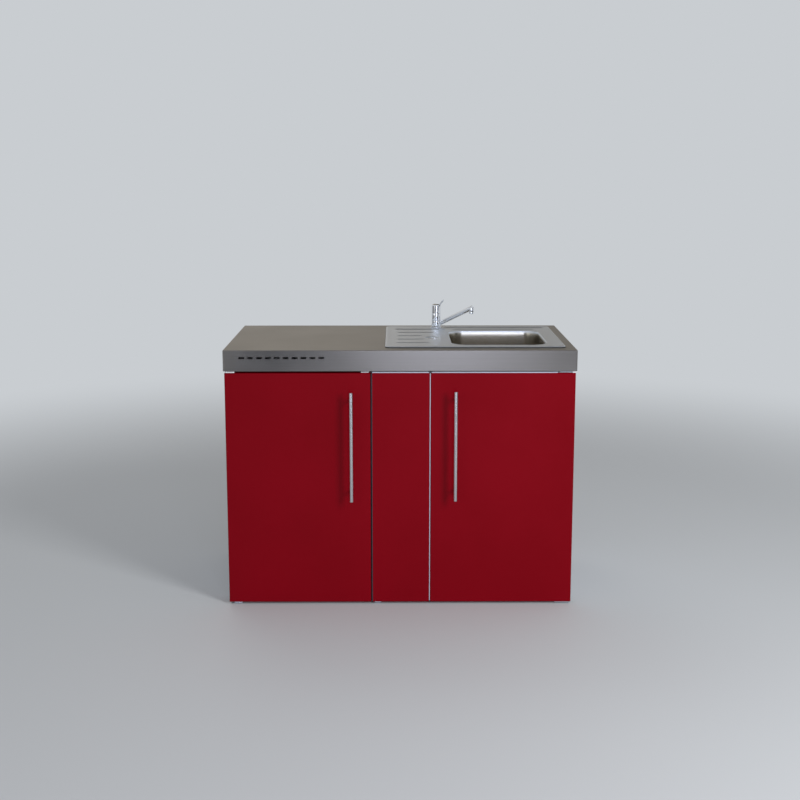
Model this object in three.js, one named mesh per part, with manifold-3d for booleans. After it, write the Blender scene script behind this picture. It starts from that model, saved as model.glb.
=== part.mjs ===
// A steel kitchenette unit, 1200 mm wide. A stainless worktop with an inset sink and a mixer tap
// lies on a sink cabinet, on the right, and on an end panel, on the left. An undercounter fridge
// stands below its left half. The fronts are red powder-coated steel with round bar handles.
//
// Millimetres. +X is to the right seen from the front, +Y to the back, +Z up. Inside the unit,
// x is 0 at the middle of the worktop, y is 0 at the face of its front apron and z is 0 on the floor.
// The finished group is moved along Y, so that its origin is at the middle of its footprint.
import * as THREE from "three";
import { mergeVertices } from "three/addons/utils/BufferGeometryUtils.js";
import Module from "manifold-3d";

const wasm = await Module();
wasm.setup();

// ---------------------------------------------------------------- driving sizes

// Gaps between pieces: flat faces that rest on each other, and pins that turn in holes
const seat = 0.25;
const running = 0.5;

// Worktop
const worktopWidth = 1200;
const worktopDepth = 600;
const worktopHeight = 900;
const worktopSheet = 1.5;
const worktopCorner = 3;
const worktopEdge = 1.5;
const apronHeight = 72;
const apronLip = 18;
const ribWidth = 60;
const ribHeight = 25;
const ribFlange = 15;

// Air slots in the apron, over the fridge
const ventCount = 10;
const ventLength = 20.5;
const ventHeight = 6;
const ventPitch = 30;
const ventInset = 53;
const ventDrop = 26;

// Fronts: the fridge door, a fixed centre panel and the sink cabinet's door
const frontsMargin = 3.5;
const frontsWidth = worktopWidth - 2 * frontsMargin;
const fridgeDoorWidth = 495;
const sinkDoorWidth = 492;
const doorGap = 4;
const frontInset = 6;
const topReveal = 7;
const floorReveal = 8;
const frontSheet = 1.2;
const fridgeDoorThickness = 48;
const sinkDoorThickness = 20;
const sinkDoorClearance = 3;

// Bar handles
const handleLength = 380;
const handleDiameter = 12;
const handlePostDiameter = 10;
const handlePostSpacing = 320;
const handleProjection = 38;
const fridgeHandleInset = 64.5;
const fridgeHandleDrop = 61;
const sinkHandleInset = 84;
const sinkHandleDrop = 58;

// Sink: a pressed tray with a drainer on the left and a bowl on the right
const sinkWidth = 620;
const sinkRight = 31;
const sinkFront = 56;
const sinkBack = 44;
const sinkDepth = worktopDepth - sinkFront - sinkBack;
const sinkSheet = 1.2;
const sinkCorner = 18;
const sinkLanding = 12;
const rimRise = 4;
const rimSlope = 6;
const bowlWidth = 332;
const bowlDrop = 150;
const bowlRight = 57;
const bowlFront = 42;
const bowlBack = 128;
const bowlDepth = sinkDepth - bowlFront - bowlBack;
const bowlCorner = 65;
const bowlDraft = 8;
const bowlFloorRadius = 30;
const bowlLip = 3;
const grooveWidth = 9;
const grooveDrop = 1.6;
const grooveLeft = 42;
const grooveFront = 92;
const grooveBack = 80;
const grooveShares = [0.593, 0.328, 0.328, 0.804, 0.889]; // of the way to the bowl, from the front row
const overflowToBowl = 63;
const overflowFront = 208;
const overflowRadius = 21;
const overflowDrop = 6;
const overflowHoleRadius = 8;
const coverThickness = 2;
const coverSlotWidth = 4;
const coverSlotPitch = 8;

// Waste, strainer basket, overflow pipe and trap
const wasteHoleRadius = 45;
const wasteFlangeRadius = 56;
const wasteFlangeHeight = 2;
const wasteCupDepth = 38;
const wasteSheet = 1.2;
const wasteHousingWall = 8;
const housingNeck = 50;
const housingSlope = 10;
const basketHeight = 32;
const basketTaper = 4;
const basketHoleCount = 8;
const basketHoleCircle = 13.5;
const basketHoleRadius = 3.5;
const basketKnobHeight = 46;
const basketKnobRadius = 8;
const basketStemRadius = 3;
const drainRadius = 21;
const drainWall = 2.9;
const drainPipeRadius = 20;
const drainPipeWall = 3;
const trapRadius = 35;
const trapHeight = 84;
const trapNeck = 34;
const trapCollar = 8;
const trapFloor = 12;
const trapEdge = 3;
const drainWallGap = 2;
const overflowPipeRadius = 10;
const overflowPipeWall = 1.5;
const overflowBend = 22;
const overflowClearance = 12;

// Mixer tap
const tapToBowl = 41;
const tapBack = 36;
const tapRadius = 17.5;
const tapHoleRadius = 16;
const tapRingHeight = 4;
const tapRingRadius = 21;
const tapRingEdge = 2;
const tapBodyHeight = 51;
const tapCoreRadius = 12.5;
const tapShankLength = 45;
const tapNutHeight = 10;
const tapNutRadius = 22;
const tapCapHeight = 33;
const collarHeight = 22;
const spoutRadius = 7.75;
const spoutReach = 178;
const spoutRise = 81;
const spoutRootDrop = 6.5;
const spoutHeadDrop = 13;
const spoutAzimuth = -45;
const aeratorRadius = 9.5;
const aeratorLength = 8;
const aeratorWall = 2;
const leverRadius = 2.75;
const leverLength = 53;
const leverElevation = 45;
const leverLift = 22;
const leverBallRadius = 6;
const leverDrop = 18;

// Sink cabinet
const cabinetSheet = 1.5;
const cabinetFlange = 20;
const cabinetBackGap = 40;
const cabinetFloorGap = 12;
const basePanelHeight = 38;
const centrePostWidth = 26;
const centrePostDepth = 16;
const frontRailHeight = 24;
const frontRailDepth = 40;
const backPanelHeight = 700;
const drainCutout = 30;
const panelTabWidth = 52;
const panelTabHeight = 3.5;
const panelTabSetback = 2;

// Hinges and the door catch
const pinLength = 14;
const hingePlate = 3;
const hingeMargin = 8;
const fridgePinRadius = 4;
const fridgePinInset = 12;
const fridgePinDepth = 22;
const fridgeHingeWidth = 26;
const fridgeHingeReach = 92;
const sinkPinRadius = 3;
const sinkPinInset = 7;
const sinkPinDepth = 11;
const sinkHingeWidth = 54;
const hingeGap = 1.5;
const catchWidth = 45;
const catchHeight = 24;
const catchGap = 0.5;

// Fridge
const fridgeSide = 2;
const fridgeBack = 55;
const fridgeSheet = 1;
const fridgeWall = 40;
const fridgeFloorGap = 20;
const gasketThickness = 8;
const gasketWidth = 14;
const gasketInset = 12;
const linerSheet = 2;
const nicheHeight = 180;
const nicheDepth = 145;
const ledgeWidth = 9;
const ledgeHeight = 5;
const shelfThickness = 4;
const shelfSetback = 70;
const shelfSideGap = 2;
const shelfLowerLevel = 186; // levels in the fridge are heights above its liner's floor
const shelfUpperLevel = 460;
const crisperHeight = 165;
const crisperSetback = 104;
const crisperSheet = 2.5;
const crisperSideGap = 14;
const dikeHeight = 18;
const dikeWidth = 8;
const dikeGap = 6;
const crisperBackGap = 4;
const skidWidth = 30;
const doorLinerSheet = 3;
const rackSheet = 2.5;
const rackSideGap = 30;
const rackBottomLevel = 70;
const rackBottomHeight = 90;
const rackBottomDepth = 72;
const rackTopLevel = 500;
const rackTopHeight = 60;
const rackTopDepth = 58;
const thermostatWidth = 30;
const thermostatDepth = 90;
const thermostatHeight = 50;
const thermostatDrop = 30;
const thermostatSetback = 138;
const knobRadius = 16;
const knobLength = 13;
const knobDisc = 9;
const knobGrip = 5;
const compressorRadius = 52;
const compressorHeight = 125;
const compressorSole = 4;
const condenserTubeRadius = 3;
const condenserRuns = 7;
const condenserInset = 34;
const condenserPitch = 80;

// Levelling feet
const footRadius = 15;
const footPad = 7;
const footStemRadius = 5;
const footInset = 26;
const bumperHeight = 4;
const bumperEdge = 4;
const fridgeBumperLength = 28;
const fridgeBumperWidth = 24;
const fridgeBumperSetback = 6;
const sinkBumperLength = 12;
const sinkBumperWidth = 10;
const sinkBumperSetback = 5;

// ---------------------------------------------------------------- places worked out from them

const doorTop = worktopHeight - apronHeight - topReveal;
const doorBottom = floorReveal;
const underWorktop = worktopHeight - worktopSheet;
const frontsLeft = -frontsWidth / 2;
const frontsRight = frontsWidth / 2;
const fridgeDoorRight = frontsLeft + fridgeDoorWidth;
const sinkDoorLeft = frontsRight - sinkDoorWidth;
const centreLeft = fridgeDoorRight + doorGap;
const centreRight = sinkDoorLeft - doorGap;
const handleAxisY = frontInset - handleProjection;
const frontReach = handleAxisY - handleDiameter / 2;

const cabinetFront = frontInset + sinkDoorThickness + sinkDoorClearance;
const cabinetBack = worktopDepth - cabinetBackGap;
const basePanelTop = basePanelHeight + cabinetSheet;

const casingFront = frontInset + fridgeDoorThickness + gasketThickness;
const casingBack = worktopDepth - fridgeBack;
const casingLeft = frontsLeft + cabinetSheet + seat;
const casingRight = centreLeft - fridgeSide;
const casingTop = doorTop + hingeGap;
const casingBottom = fridgeFloorGap;
const linerLeft = casingLeft + fridgeWall;
const linerRight = casingRight - fridgeWall;
const linerFloor = casingBottom + fridgeWall;
const linerTop = casingTop - fridgeWall;
const linerBack = casingBack - fridgeWall;
const nicheTop = casingBottom + nicheHeight;
const nicheFront = casingBack - nicheDepth;

const deckTop = worktopHeight + rimRise;
const sinkRightEdge = worktopWidth / 2 - sinkRight;
const sinkLeftEdge = sinkRightEdge - sinkWidth;
const sinkMiddleX = (sinkLeftEdge + sinkRightEdge) / 2;
const sinkMiddleY = sinkFront + sinkDepth / 2;
const bowlX = sinkRightEdge - bowlRight - bowlWidth / 2;
const bowlY = sinkFront + bowlFront + bowlDepth / 2;
const bowlFloor = deckTop - bowlDrop;
const bowlLeftEdge = bowlX - bowlWidth / 2;
const groovesLeft = sinkLeftEdge + grooveLeft;
const tapX = bowlLeftEdge - tapToBowl;
const tapY = sinkFront + sinkDepth - tapBack;
const drainLevel = bowlFloor - wasteCupDepth - housingNeck - trapNeck - drainPipeRadius - drainPipeWall;
const overflowX = bowlLeftEdge - overflowToBowl;
const overflowY = sinkFront + overflowFront;

// ---------------------------------------------------------------- materials

function finish(color, roughness, metalness) {
  return new THREE.MeshStandardMaterial({ color, roughness, metalness });
}
const stainless = finish(0x9a9794, 0.38, 0.9);
const sinkSteel = finish(0xb4b6b8, 0.32, 0.9);
const chromed = finish(0xd6dadf, 0.1, 1);
const handleSteel = finish(0xb9b9bc, 0.3, 0.9);
const rubyCoat = finish(0x780e1c, 0.45, 0.2);
const greyCoat = finish(0xb3b7c2, 0.5, 0.2);
const zinc = finish(0xc9ccd2, 0.4, 0.8);
const whitePlastic = finish(0xe9ebee, 0.5, 0);
const greyPlastic = finish(0x8c9095, 0.6, 0);
const blackPlastic = finish(0x1d1e20, 0.6, 0);
const paleRubber = finish(0xc6c8ca, 0.8, 0);
const clearGlass = new THREE.MeshStandardMaterial({
  color: 0xcfe3e0, roughness: 0.1, metalness: 0, transparent: true, opacity: 0.4,
});

// ---------------------------------------------------------------- shapes

// A box given by its lowest and highest x, y and z.
function box(x0, x1, y0, y1, z0, z1) {
  return new THREE.BoxGeometry(x1 - x0, y1 - y0, z1 - z0)
    .translate((x0 + x1) / 2, (y0 + y1) / 2, (z0 + z1) / 2);
}

// A round bar along Z, from z0 to z1.
function bar(radius, z0, z1, sides = 24) {
  return new THREE.CylinderGeometry(radius, radius, z1 - z0, sides)
    .rotateX(Math.PI / 2)
    .translate(0, 0, (z0 + z1) / 2);
}

// A closed outline of [radius, height] pairs, turned about Z. It runs counter-clockwise when the
// radius points right and the height up.
function turned(outline, sides = 32) {
  const points = outline.map(([r, h]) => new THREE.Vector2(r, h));
  if (outline[0][0] > 0) points.push(points[0].clone());
  return new THREE.LatheGeometry(points, sides).rotateX(Math.PI / 2);
}

// A closed skin over rings with equal point counts. Each ring runs counter-clockwise seen from the
// end that the rings are listed towards.
function loft(rings) {
  const count = rings[0].length;
  const position = rings.flat().flatMap((p) => [p.x, p.y, p.z]);
  const index = [];
  for (let r = 0; r + 1 < rings.length; r++) {
    for (let i = 0; i < count; i++) {
      const low = r * count + i;
      const lowNext = r * count + ((i + 1) % count);
      index.push(low, lowNext, lowNext + count, low, lowNext + count, low + count);
    }
  }
  for (const [ring, start, up] of [[rings[0], 0, false], [rings.at(-1), (rings.length - 1) * count, true]]) {
    const middle = ring.reduce((sum, p) => sum.add(p), new THREE.Vector3()).divideScalar(count);
    const centre = position.length / 3;
    position.push(middle.x, middle.y, middle.z);
    for (let i = 0; i < count; i++) {
      const here = start + i;
      const next = start + ((i + 1) % count);
      index.push(centre, up ? here : next, up ? next : here);
    }
  }
  const skin = new THREE.BufferGeometry();
  skin.setAttribute("position", new THREE.Float32BufferAttribute(position, 3));
  skin.setIndex(index);
  return skin.toNonIndexed();
}

// A level rounded rectangle as a ring of points, centred on x 0 and y 0.
function roundedRing(width, depth, radius, z, steps = 5) {
  const r = Math.min(Math.max(radius, 0.4), width / 2 - 0.1, depth / 2 - 0.1);
  const ring = [];
  for (const [sx, sy, from] of [[1, 1, 0], [-1, 1, 90], [-1, -1, 180], [1, -1, 270]]) {
    for (let i = 0; i <= steps; i++) {
      const angle = THREE.MathUtils.degToRad(from + (90 * i) / steps);
      const x = sx * (width / 2 - r) + r * Math.cos(angle);
      const y = sy * (depth / 2 - r) + r * Math.sin(angle);
      ring.push(new THREE.Vector3(x, y, z));
    }
  }
  return ring;
}

// A round solid bar along a path of points, with a ring square to the path at each point.
function rod(path, radius, sides = 8) {
  const rings = path.map((point, i) => {
    const back = path[Math.max(i - 1, 0)];
    const ahead = path[Math.min(i + 1, path.length - 1)];
    const turn = new THREE.Quaternion().setFromUnitVectors(
      new THREE.Vector3(0, 0, 1),
      ahead.clone().sub(back).normalize(),
    );
    return Array.from({ length: sides }, (_, k) => {
      const angle = (2 * Math.PI * k) / sides;
      return new THREE.Vector3(radius * Math.cos(angle), radius * Math.sin(angle), 0)
        .applyQuaternion(turn)
        .add(point);
    });
  });
  return loft(rings);
}

// A flat outline of [u, v] pairs pushed along an axis. Along "x" the pairs are y and z, along "y"
// they are z and x, and along "z" they are x and y.
function pushed(outline, axis, from, to) {
  const shape = new THREE.Shape(outline.map(([u, v]) => new THREE.Vector2(u, v)));
  const solid = new THREE.ExtrudeGeometry(shape, { depth: to - from, bevelEnabled: false });
  const [X, Y, Z] = [[1, 0, 0], [0, 1, 0], [0, 0, 1]].map((v) => new THREE.Vector3(...v));
  const frames = { x: [Y, Z, X], y: [Z, X, Y], z: [X, Y, Z] };
  solid.translate(0, 0, from);
  return solid.applyMatrix4(new THREE.Matrix4().makeBasis(...frames[axis]));
}

// A level slot with round ends, its left end at x 0, from z0 to z1.
function slot(length, width, z0, z1) {
  const r = width / 2;
  const shape = new THREE.Shape();
  shape.absarc(length - r, 0, r, -Math.PI / 2, Math.PI / 2);
  shape.absarc(r, 0, r, Math.PI / 2, (3 * Math.PI) / 2);
  return new THREE.ExtrudeGeometry(shape, { depth: z1 - z0, bevelEnabled: false, curveSegments: 5 })
    .translate(0, 0, z0);
}

function toSolid(geometry) {
  const loose = geometry.index ? geometry.toNonIndexed() : geometry;
  const bare = new THREE.BufferGeometry();
  bare.setAttribute("position", loose.getAttribute("position"));
  const merged = mergeVertices(bare, 1e-4);
  return new wasm.Manifold(new wasm.Mesh({
    numProp: 3,
    vertProperties: merged.getAttribute("position").array,
    triVerts: new Uint32Array(merged.index.array),
  }));
}

function toGeometry(solid) {
  const mesh = solid.getMesh();
  const geometry = new THREE.BufferGeometry();
  geometry.setAttribute("position", new THREE.BufferAttribute(mesh.vertProperties, 3));
  geometry.setIndex(new THREE.BufferAttribute(mesh.triVerts, 1));
  const flat = geometry.toNonIndexed();
  flat.computeVertexNormals();
  return flat;
}

function join(...pieces) {
  return toGeometry(pieces.map(toSolid).reduce((whole, piece) => whole.add(piece)));
}

function cut(base, ...tools) {
  return toGeometry(tools.map(toSolid).reduce((rest, tool) => rest.subtract(tool), toSolid(base)));
}

// A five-sided tray of folded sheet. The open side is "back", "front", "top" or "bottom".
function tray(x0, x1, y0, y1, z0, z1, sheet, open) {
  const beyond = 1;
  const inner = [x0 + sheet, x1 - sheet, y0 + sheet, y1 - sheet, z0 + sheet, z1 - sheet];
  if (open === "back") inner[3] = y1 + beyond;
  if (open === "front") inner[2] = y0 - beyond;
  if (open === "top") inner[5] = z1 + beyond;
  if (open === "bottom") inner[4] = z0 - beyond;
  return cut(box(x0, x1, y0, y1, z0, z1), box(...inner));
}

const unit = new THREE.Group();

function add(parent, name, geometry, material, x = 0, y = 0, z = 0) {
  const mesh = new THREE.Mesh(geometry, material);
  mesh.name = name;
  mesh.position.set(x, y, z);
  parent.add(mesh);
  return mesh;
}

// ---------------------------------------------------------------- worktop

function worktop() {
  const bottom = worktopHeight - apronHeight;
  const middle = [0, worktopDepth / 2, 0];
  const outer = loft([
    roundedRing(worktopWidth, worktopDepth, worktopCorner, bottom, 3),
    roundedRing(worktopWidth, worktopDepth, worktopCorner, worktopHeight - worktopEdge, 3),
    roundedRing(worktopWidth - 2 * worktopEdge, worktopDepth - 2 * worktopEdge,
      worktopCorner - worktopEdge, worktopHeight, 3),
  ]).translate(...middle);
  const innerWidth = worktopWidth - 2 * worktopSheet;
  const innerDepth = worktopDepth - 2 * worktopSheet;
  const hollow = loft([
    roundedRing(innerWidth, innerDepth, worktopCorner - worktopSheet, bottom - 1, 3),
    roundedRing(innerWidth, innerDepth, worktopCorner - worktopSheet, underWorktop, 3),
  ]).translate(...middle);
  const cutout = loft([worktopHeight - apronHeight / 2, worktopHeight + 1].map((z) =>
    roundedRing(sinkWidth - 2 * sinkLanding, sinkDepth - 2 * sinkLanding, sinkCorner - sinkLanding, z),
  )).translate(sinkMiddleX, sinkMiddleY, 0);
  const lips = [worktopSheet, worktopDepth - apronLip].map((y) =>
    box(-innerWidth / 2 - worktopSheet / 2, innerWidth / 2 + worktopSheet / 2,
      y - worktopSheet / 2, y + apronLip - worktopSheet / 2, bottom, bottom + worktopSheet),
  );
  const vents = Array.from({ length: ventCount }, (_, i) => {
    const x = -worktopWidth / 2 + ventInset + i * ventPitch;
    const z = worktopHeight - ventDrop - ventHeight / 2;
    return box(x, x + ventLength, -1, worktopSheet + 1, z, z + ventHeight);
  });
  add(unit, "worktop", cut(join(cut(outer, hollow), ...lips), cutout, ...vents), stainless);

  // A hat-section rib under the plain left half
  const half = ribWidth / 2;
  const hat = [
    [-half - ribFlange, 0], [-half - ribFlange, -worktopSheet], [-half, -worktopSheet],
    [-half, -ribHeight], [half, -ribHeight], [half, -worktopSheet], [half + ribFlange, -worktopSheet],
    [half + ribFlange, 0], [half - worktopSheet, 0], [half - worktopSheet, worktopSheet - ribHeight],
    [worktopSheet - half, worktopSheet - ribHeight], [worktopSheet - half, 0],
  ];
  const rib = pushed(hat, "x", frontsLeft + cabinetSheet + seat, centreLeft - seat);
  add(unit, "worktop_rib", rib, stainless, 0, worktopDepth / 2, underWorktop - seat);
}

// ---------------------------------------------------------------- sink, waste and trap

// Rings of the bowl's wall from its floor up, grown outwards by the sheet for the outer skin.
function bowlRings(grow, top) {
  const ring = (inset, z) => roundedRing(bowlWidth - 2 * inset + 2 * grow,
    bowlDepth - 2 * inset + 2 * grow, bowlCorner - inset + grow, z, 6);
  const rings = [];
  for (const angle of [90, 60, 30, 0]) {
    const a = THREE.MathUtils.degToRad(angle);
    const inset = bowlDraft + bowlFloorRadius * (1 - Math.cos(a));
    rings.push(ring(inset, bowlFloor - grow + bowlFloorRadius * (1 - Math.sin(a))));
  }
  rings.push(ring(0, deckTop - bowlLip));
  rings.push(ring(-bowlLip, deckTop));
  if (top > deckTop) rings.push(ring(-bowlLip, top));
  return rings;
}

function sink() {
  const centre = [sinkMiddleX, sinkMiddleY, 0];
  const pan = loft([
    roundedRing(sinkWidth, sinkDepth, sinkCorner, worktopHeight + seat),
    roundedRing(sinkWidth - 2 * rimSlope, sinkDepth - 2 * rimSlope, sinkCorner - rimSlope, deckTop),
  ]).translate(...centre);
  const under = deckTop - sinkSheet;
  const inset = 2 * sinkSheet;
  const panHollow = loft([
    roundedRing(sinkWidth - 2 * inset, sinkDepth - 2 * inset, sinkCorner - inset, worktopHeight - 1),
    roundedRing(sinkWidth - 2 * inset, sinkDepth - 2 * inset, sinkCorner - inset, worktopHeight + seat),
    roundedRing(sinkWidth - 2 * rimSlope - inset, sinkDepth - 2 * rimSlope - inset,
      sinkCorner - rimSlope, under),
  ]).translate(...centre);
  const tub = loft(bowlRings(sinkSheet, deckTop)).translate(bowlX, bowlY, 0);
  const bowl = loft(bowlRings(0, deckTop + 1)).translate(bowlX, bowlY, 0);

  const channels = [];
  const grooves = [];
  const groovePitch = (sinkDepth - grooveFront - grooveBack) / (grooveShares.length - 1);
  grooveShares.forEach((share, row) => {
    const length = share * (bowlLeftEdge - groovesLeft);
    const at = [groovesLeft, sinkFront + grooveFront + row * groovePitch, 0];
    const wide = grooveWidth + 2 * sinkSheet;
    const long = length + 2 * sinkSheet;
    channels.push(slot(long, wide, under - grooveDrop, under + sinkSheet / 2)
      .translate(-sinkSheet, 0, 0).translate(...at));
    grooves.push(slot(length, grooveWidth, deckTop - grooveDrop, deckTop + 1).translate(...at));
  });
  const dishAt = [overflowX, overflowY, 0];
  const dish = bar(overflowRadius + sinkSheet, under - overflowDrop, under + sinkSheet / 2)
    .translate(...dishAt);
  const dishHollow = bar(overflowRadius, deckTop - overflowDrop, deckTop + 1).translate(...dishAt);
  const overflowHole = bar(overflowHoleRadius, under - overflowDrop - 1, deckTop).translate(...dishAt);
  const wasteHole = bar(wasteHoleRadius, bowlFloor - 2 * sinkSheet, bowlFloor + 1, 32)
    .translate(bowlX, bowlY, 0);
  const tapHole = bar(tapHoleRadius, under - 1, deckTop + 1).translate(tapX, tapY, 0);
  const shell = join(cut(pan, panHollow), tub, dish, ...channels);
  const pressed = cut(shell, bowl, dishHollow, overflowHole, wasteHole, tapHole, ...grooves);
  add(unit, "sink", pressed, sinkSteel);

  const slots = [-1, 0, 1].map((row) =>
    slot(overflowRadius, coverSlotWidth, -1, coverThickness + 1)
      .translate(-overflowRadius / 2, row * coverSlotPitch, 0));
  const cover = cut(bar(overflowRadius - coverThickness, 0, coverThickness), ...slots);
  add(unit, "overflow_cover", cover, chromed, overflowX, overflowY, deckTop - overflowDrop + seat);
}

function drain() {
  // The steel cup that clamps through the bowl's floor
  const rim = bowlFloor + seat + wasteFlangeHeight;
  const cupRadius = wasteHoleRadius - running;
  const cupBottom = rim - wasteCupDepth;
  const cup = turned([
    [drainRadius, cupBottom], [cupRadius, cupBottom], [cupRadius, bowlFloor + seat],
    [wasteFlangeRadius, bowlFloor + seat], [wasteFlangeRadius - 1, rim], [cupRadius - wasteSheet, rim],
    [cupRadius - wasteSheet, cupBottom + wasteSheet], [drainRadius, cupBottom + wasteSheet],
  ]);
  add(unit, "waste_flange", cup, chromed, bowlX, bowlY);

  // The strainer basket, lifted out by its knob
  const basketRadius = cupRadius - wasteSheet - running;
  const base = cupBottom + wasteSheet + seat;
  const holes = Array.from({ length: basketHoleCount }, (_, i) => {
    const angle = (2 * Math.PI * i) / basketHoleCount;
    return bar(basketHoleRadius, base - 1, base + 2 * wasteSheet, 8)
      .translate(basketHoleCircle * Math.cos(angle), basketHoleCircle * Math.sin(angle), 0);
  });
  const footRing = basketRadius - basketTaper;
  const pail = turned([
    [0, base], [footRing, base], [basketRadius, base + basketHeight],
    [basketRadius - wasteSheet, base + basketHeight], [footRing - wasteSheet, base + wasteSheet],
    [0, base + wasteSheet],
  ]);
  const knobTop = base + basketKnobHeight;
  const knob = turned([
    [0, base], [basketStemRadius, base], [basketStemRadius, knobTop - basketKnobRadius],
    [basketKnobRadius, knobTop - basketKnobRadius / 2], [basketKnobRadius, knobTop - 1],
    [basketKnobRadius - 1, knobTop], [0, knobTop],
  ], 16);
  add(unit, "strainer_basket", cut(join(pail, knob), ...holes), chromed, bowlX, bowlY);

  // The plastic housing and nut below the bowl
  const housingTop = bowlFloor - sinkSheet - seat;
  const housingFloor = cupBottom - seat;
  const outer = wasteHoleRadius + wasteHousingWall;
  const drainOuter = drainRadius + drainWall;
  const outlet = housingFloor - housingNeck;
  const shell = housingFloor - wasteHousingWall;
  const housing = turned([
    [drainRadius, outlet], [drainOuter, outlet], [drainOuter, shell - 2 * housingSlope],
    [outer, shell - housingSlope], [outer, housingTop], [wasteHoleRadius, housingTop],
    [wasteHoleRadius, housingFloor], [drainRadius, shell],
  ], 24);
  add(unit, "waste_housing", housing, greyPlastic, bowlX, bowlY);

  // The bottle trap hangs on the housing, and its side outlet runs to the wall
  const trapTop = outlet - seat;
  const shoulder = trapTop - trapNeck;
  const trapBottom = shoulder - trapHeight;
  const collar = drainOuter + trapCollar / 2;
  const trap = turned([
    [0, trapBottom], [trapRadius - trapEdge, trapBottom], [trapRadius, trapBottom + trapEdge],
    [trapRadius, shoulder], [collar, shoulder + trapCollar], [collar, trapTop],
    [drainRadius, trapTop], [drainRadius, trapBottom + trapFloor], [0, trapBottom + trapFloor],
  ], 24);
  add(unit, "bottle_trap", trap, whitePlastic, bowlX, bowlY);
  const pipeStart = bowlY + trapRadius + seat;
  const pipeLength = worktopDepth - drainWallGap - pipeStart;
  const pipe = turned([
    [drainPipeRadius - drainPipeWall, 0], [drainPipeRadius, 0], [drainPipeRadius, pipeLength],
    [drainPipeRadius - drainPipeWall, pipeLength],
  ], 24).rotateX(-Math.PI / 2);
  add(unit, "drain_pipe", pipe, whitePlastic, bowlX, pipeStart, drainLevel);

  // The overflow pipe drops from the dish and turns under the bowl to the housing
  const top = deckTop - sinkSheet - overflowDrop - seat;
  const level = bowlFloor - sinkSheet - overflowPipeRadius - overflowClearance;
  const run = (start, end) => {
    const path = [new THREE.Vector3(overflowX, overflowY, start)];
    for (let i = 0; i <= 4; i++) {
      const a = (Math.PI / 2) * (i / 4);
      path.push(new THREE.Vector3(overflowX + overflowBend * (1 - Math.cos(a)), overflowY,
        level + overflowBend * (1 - Math.sin(a))));
    }
    path.push(new THREE.Vector3(end, overflowY, level));
    return path;
  };
  const end = bowlX - outer - seat;
  const overflow = cut(rod(run(top, end), overflowPipeRadius, 12),
    rod(run(top + 1, end + 1), overflowPipeRadius - overflowPipeWall, 12));
  add(unit, "overflow_pipe", overflow, whitePlastic);
}

// ---------------------------------------------------------------- mixer tap

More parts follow.
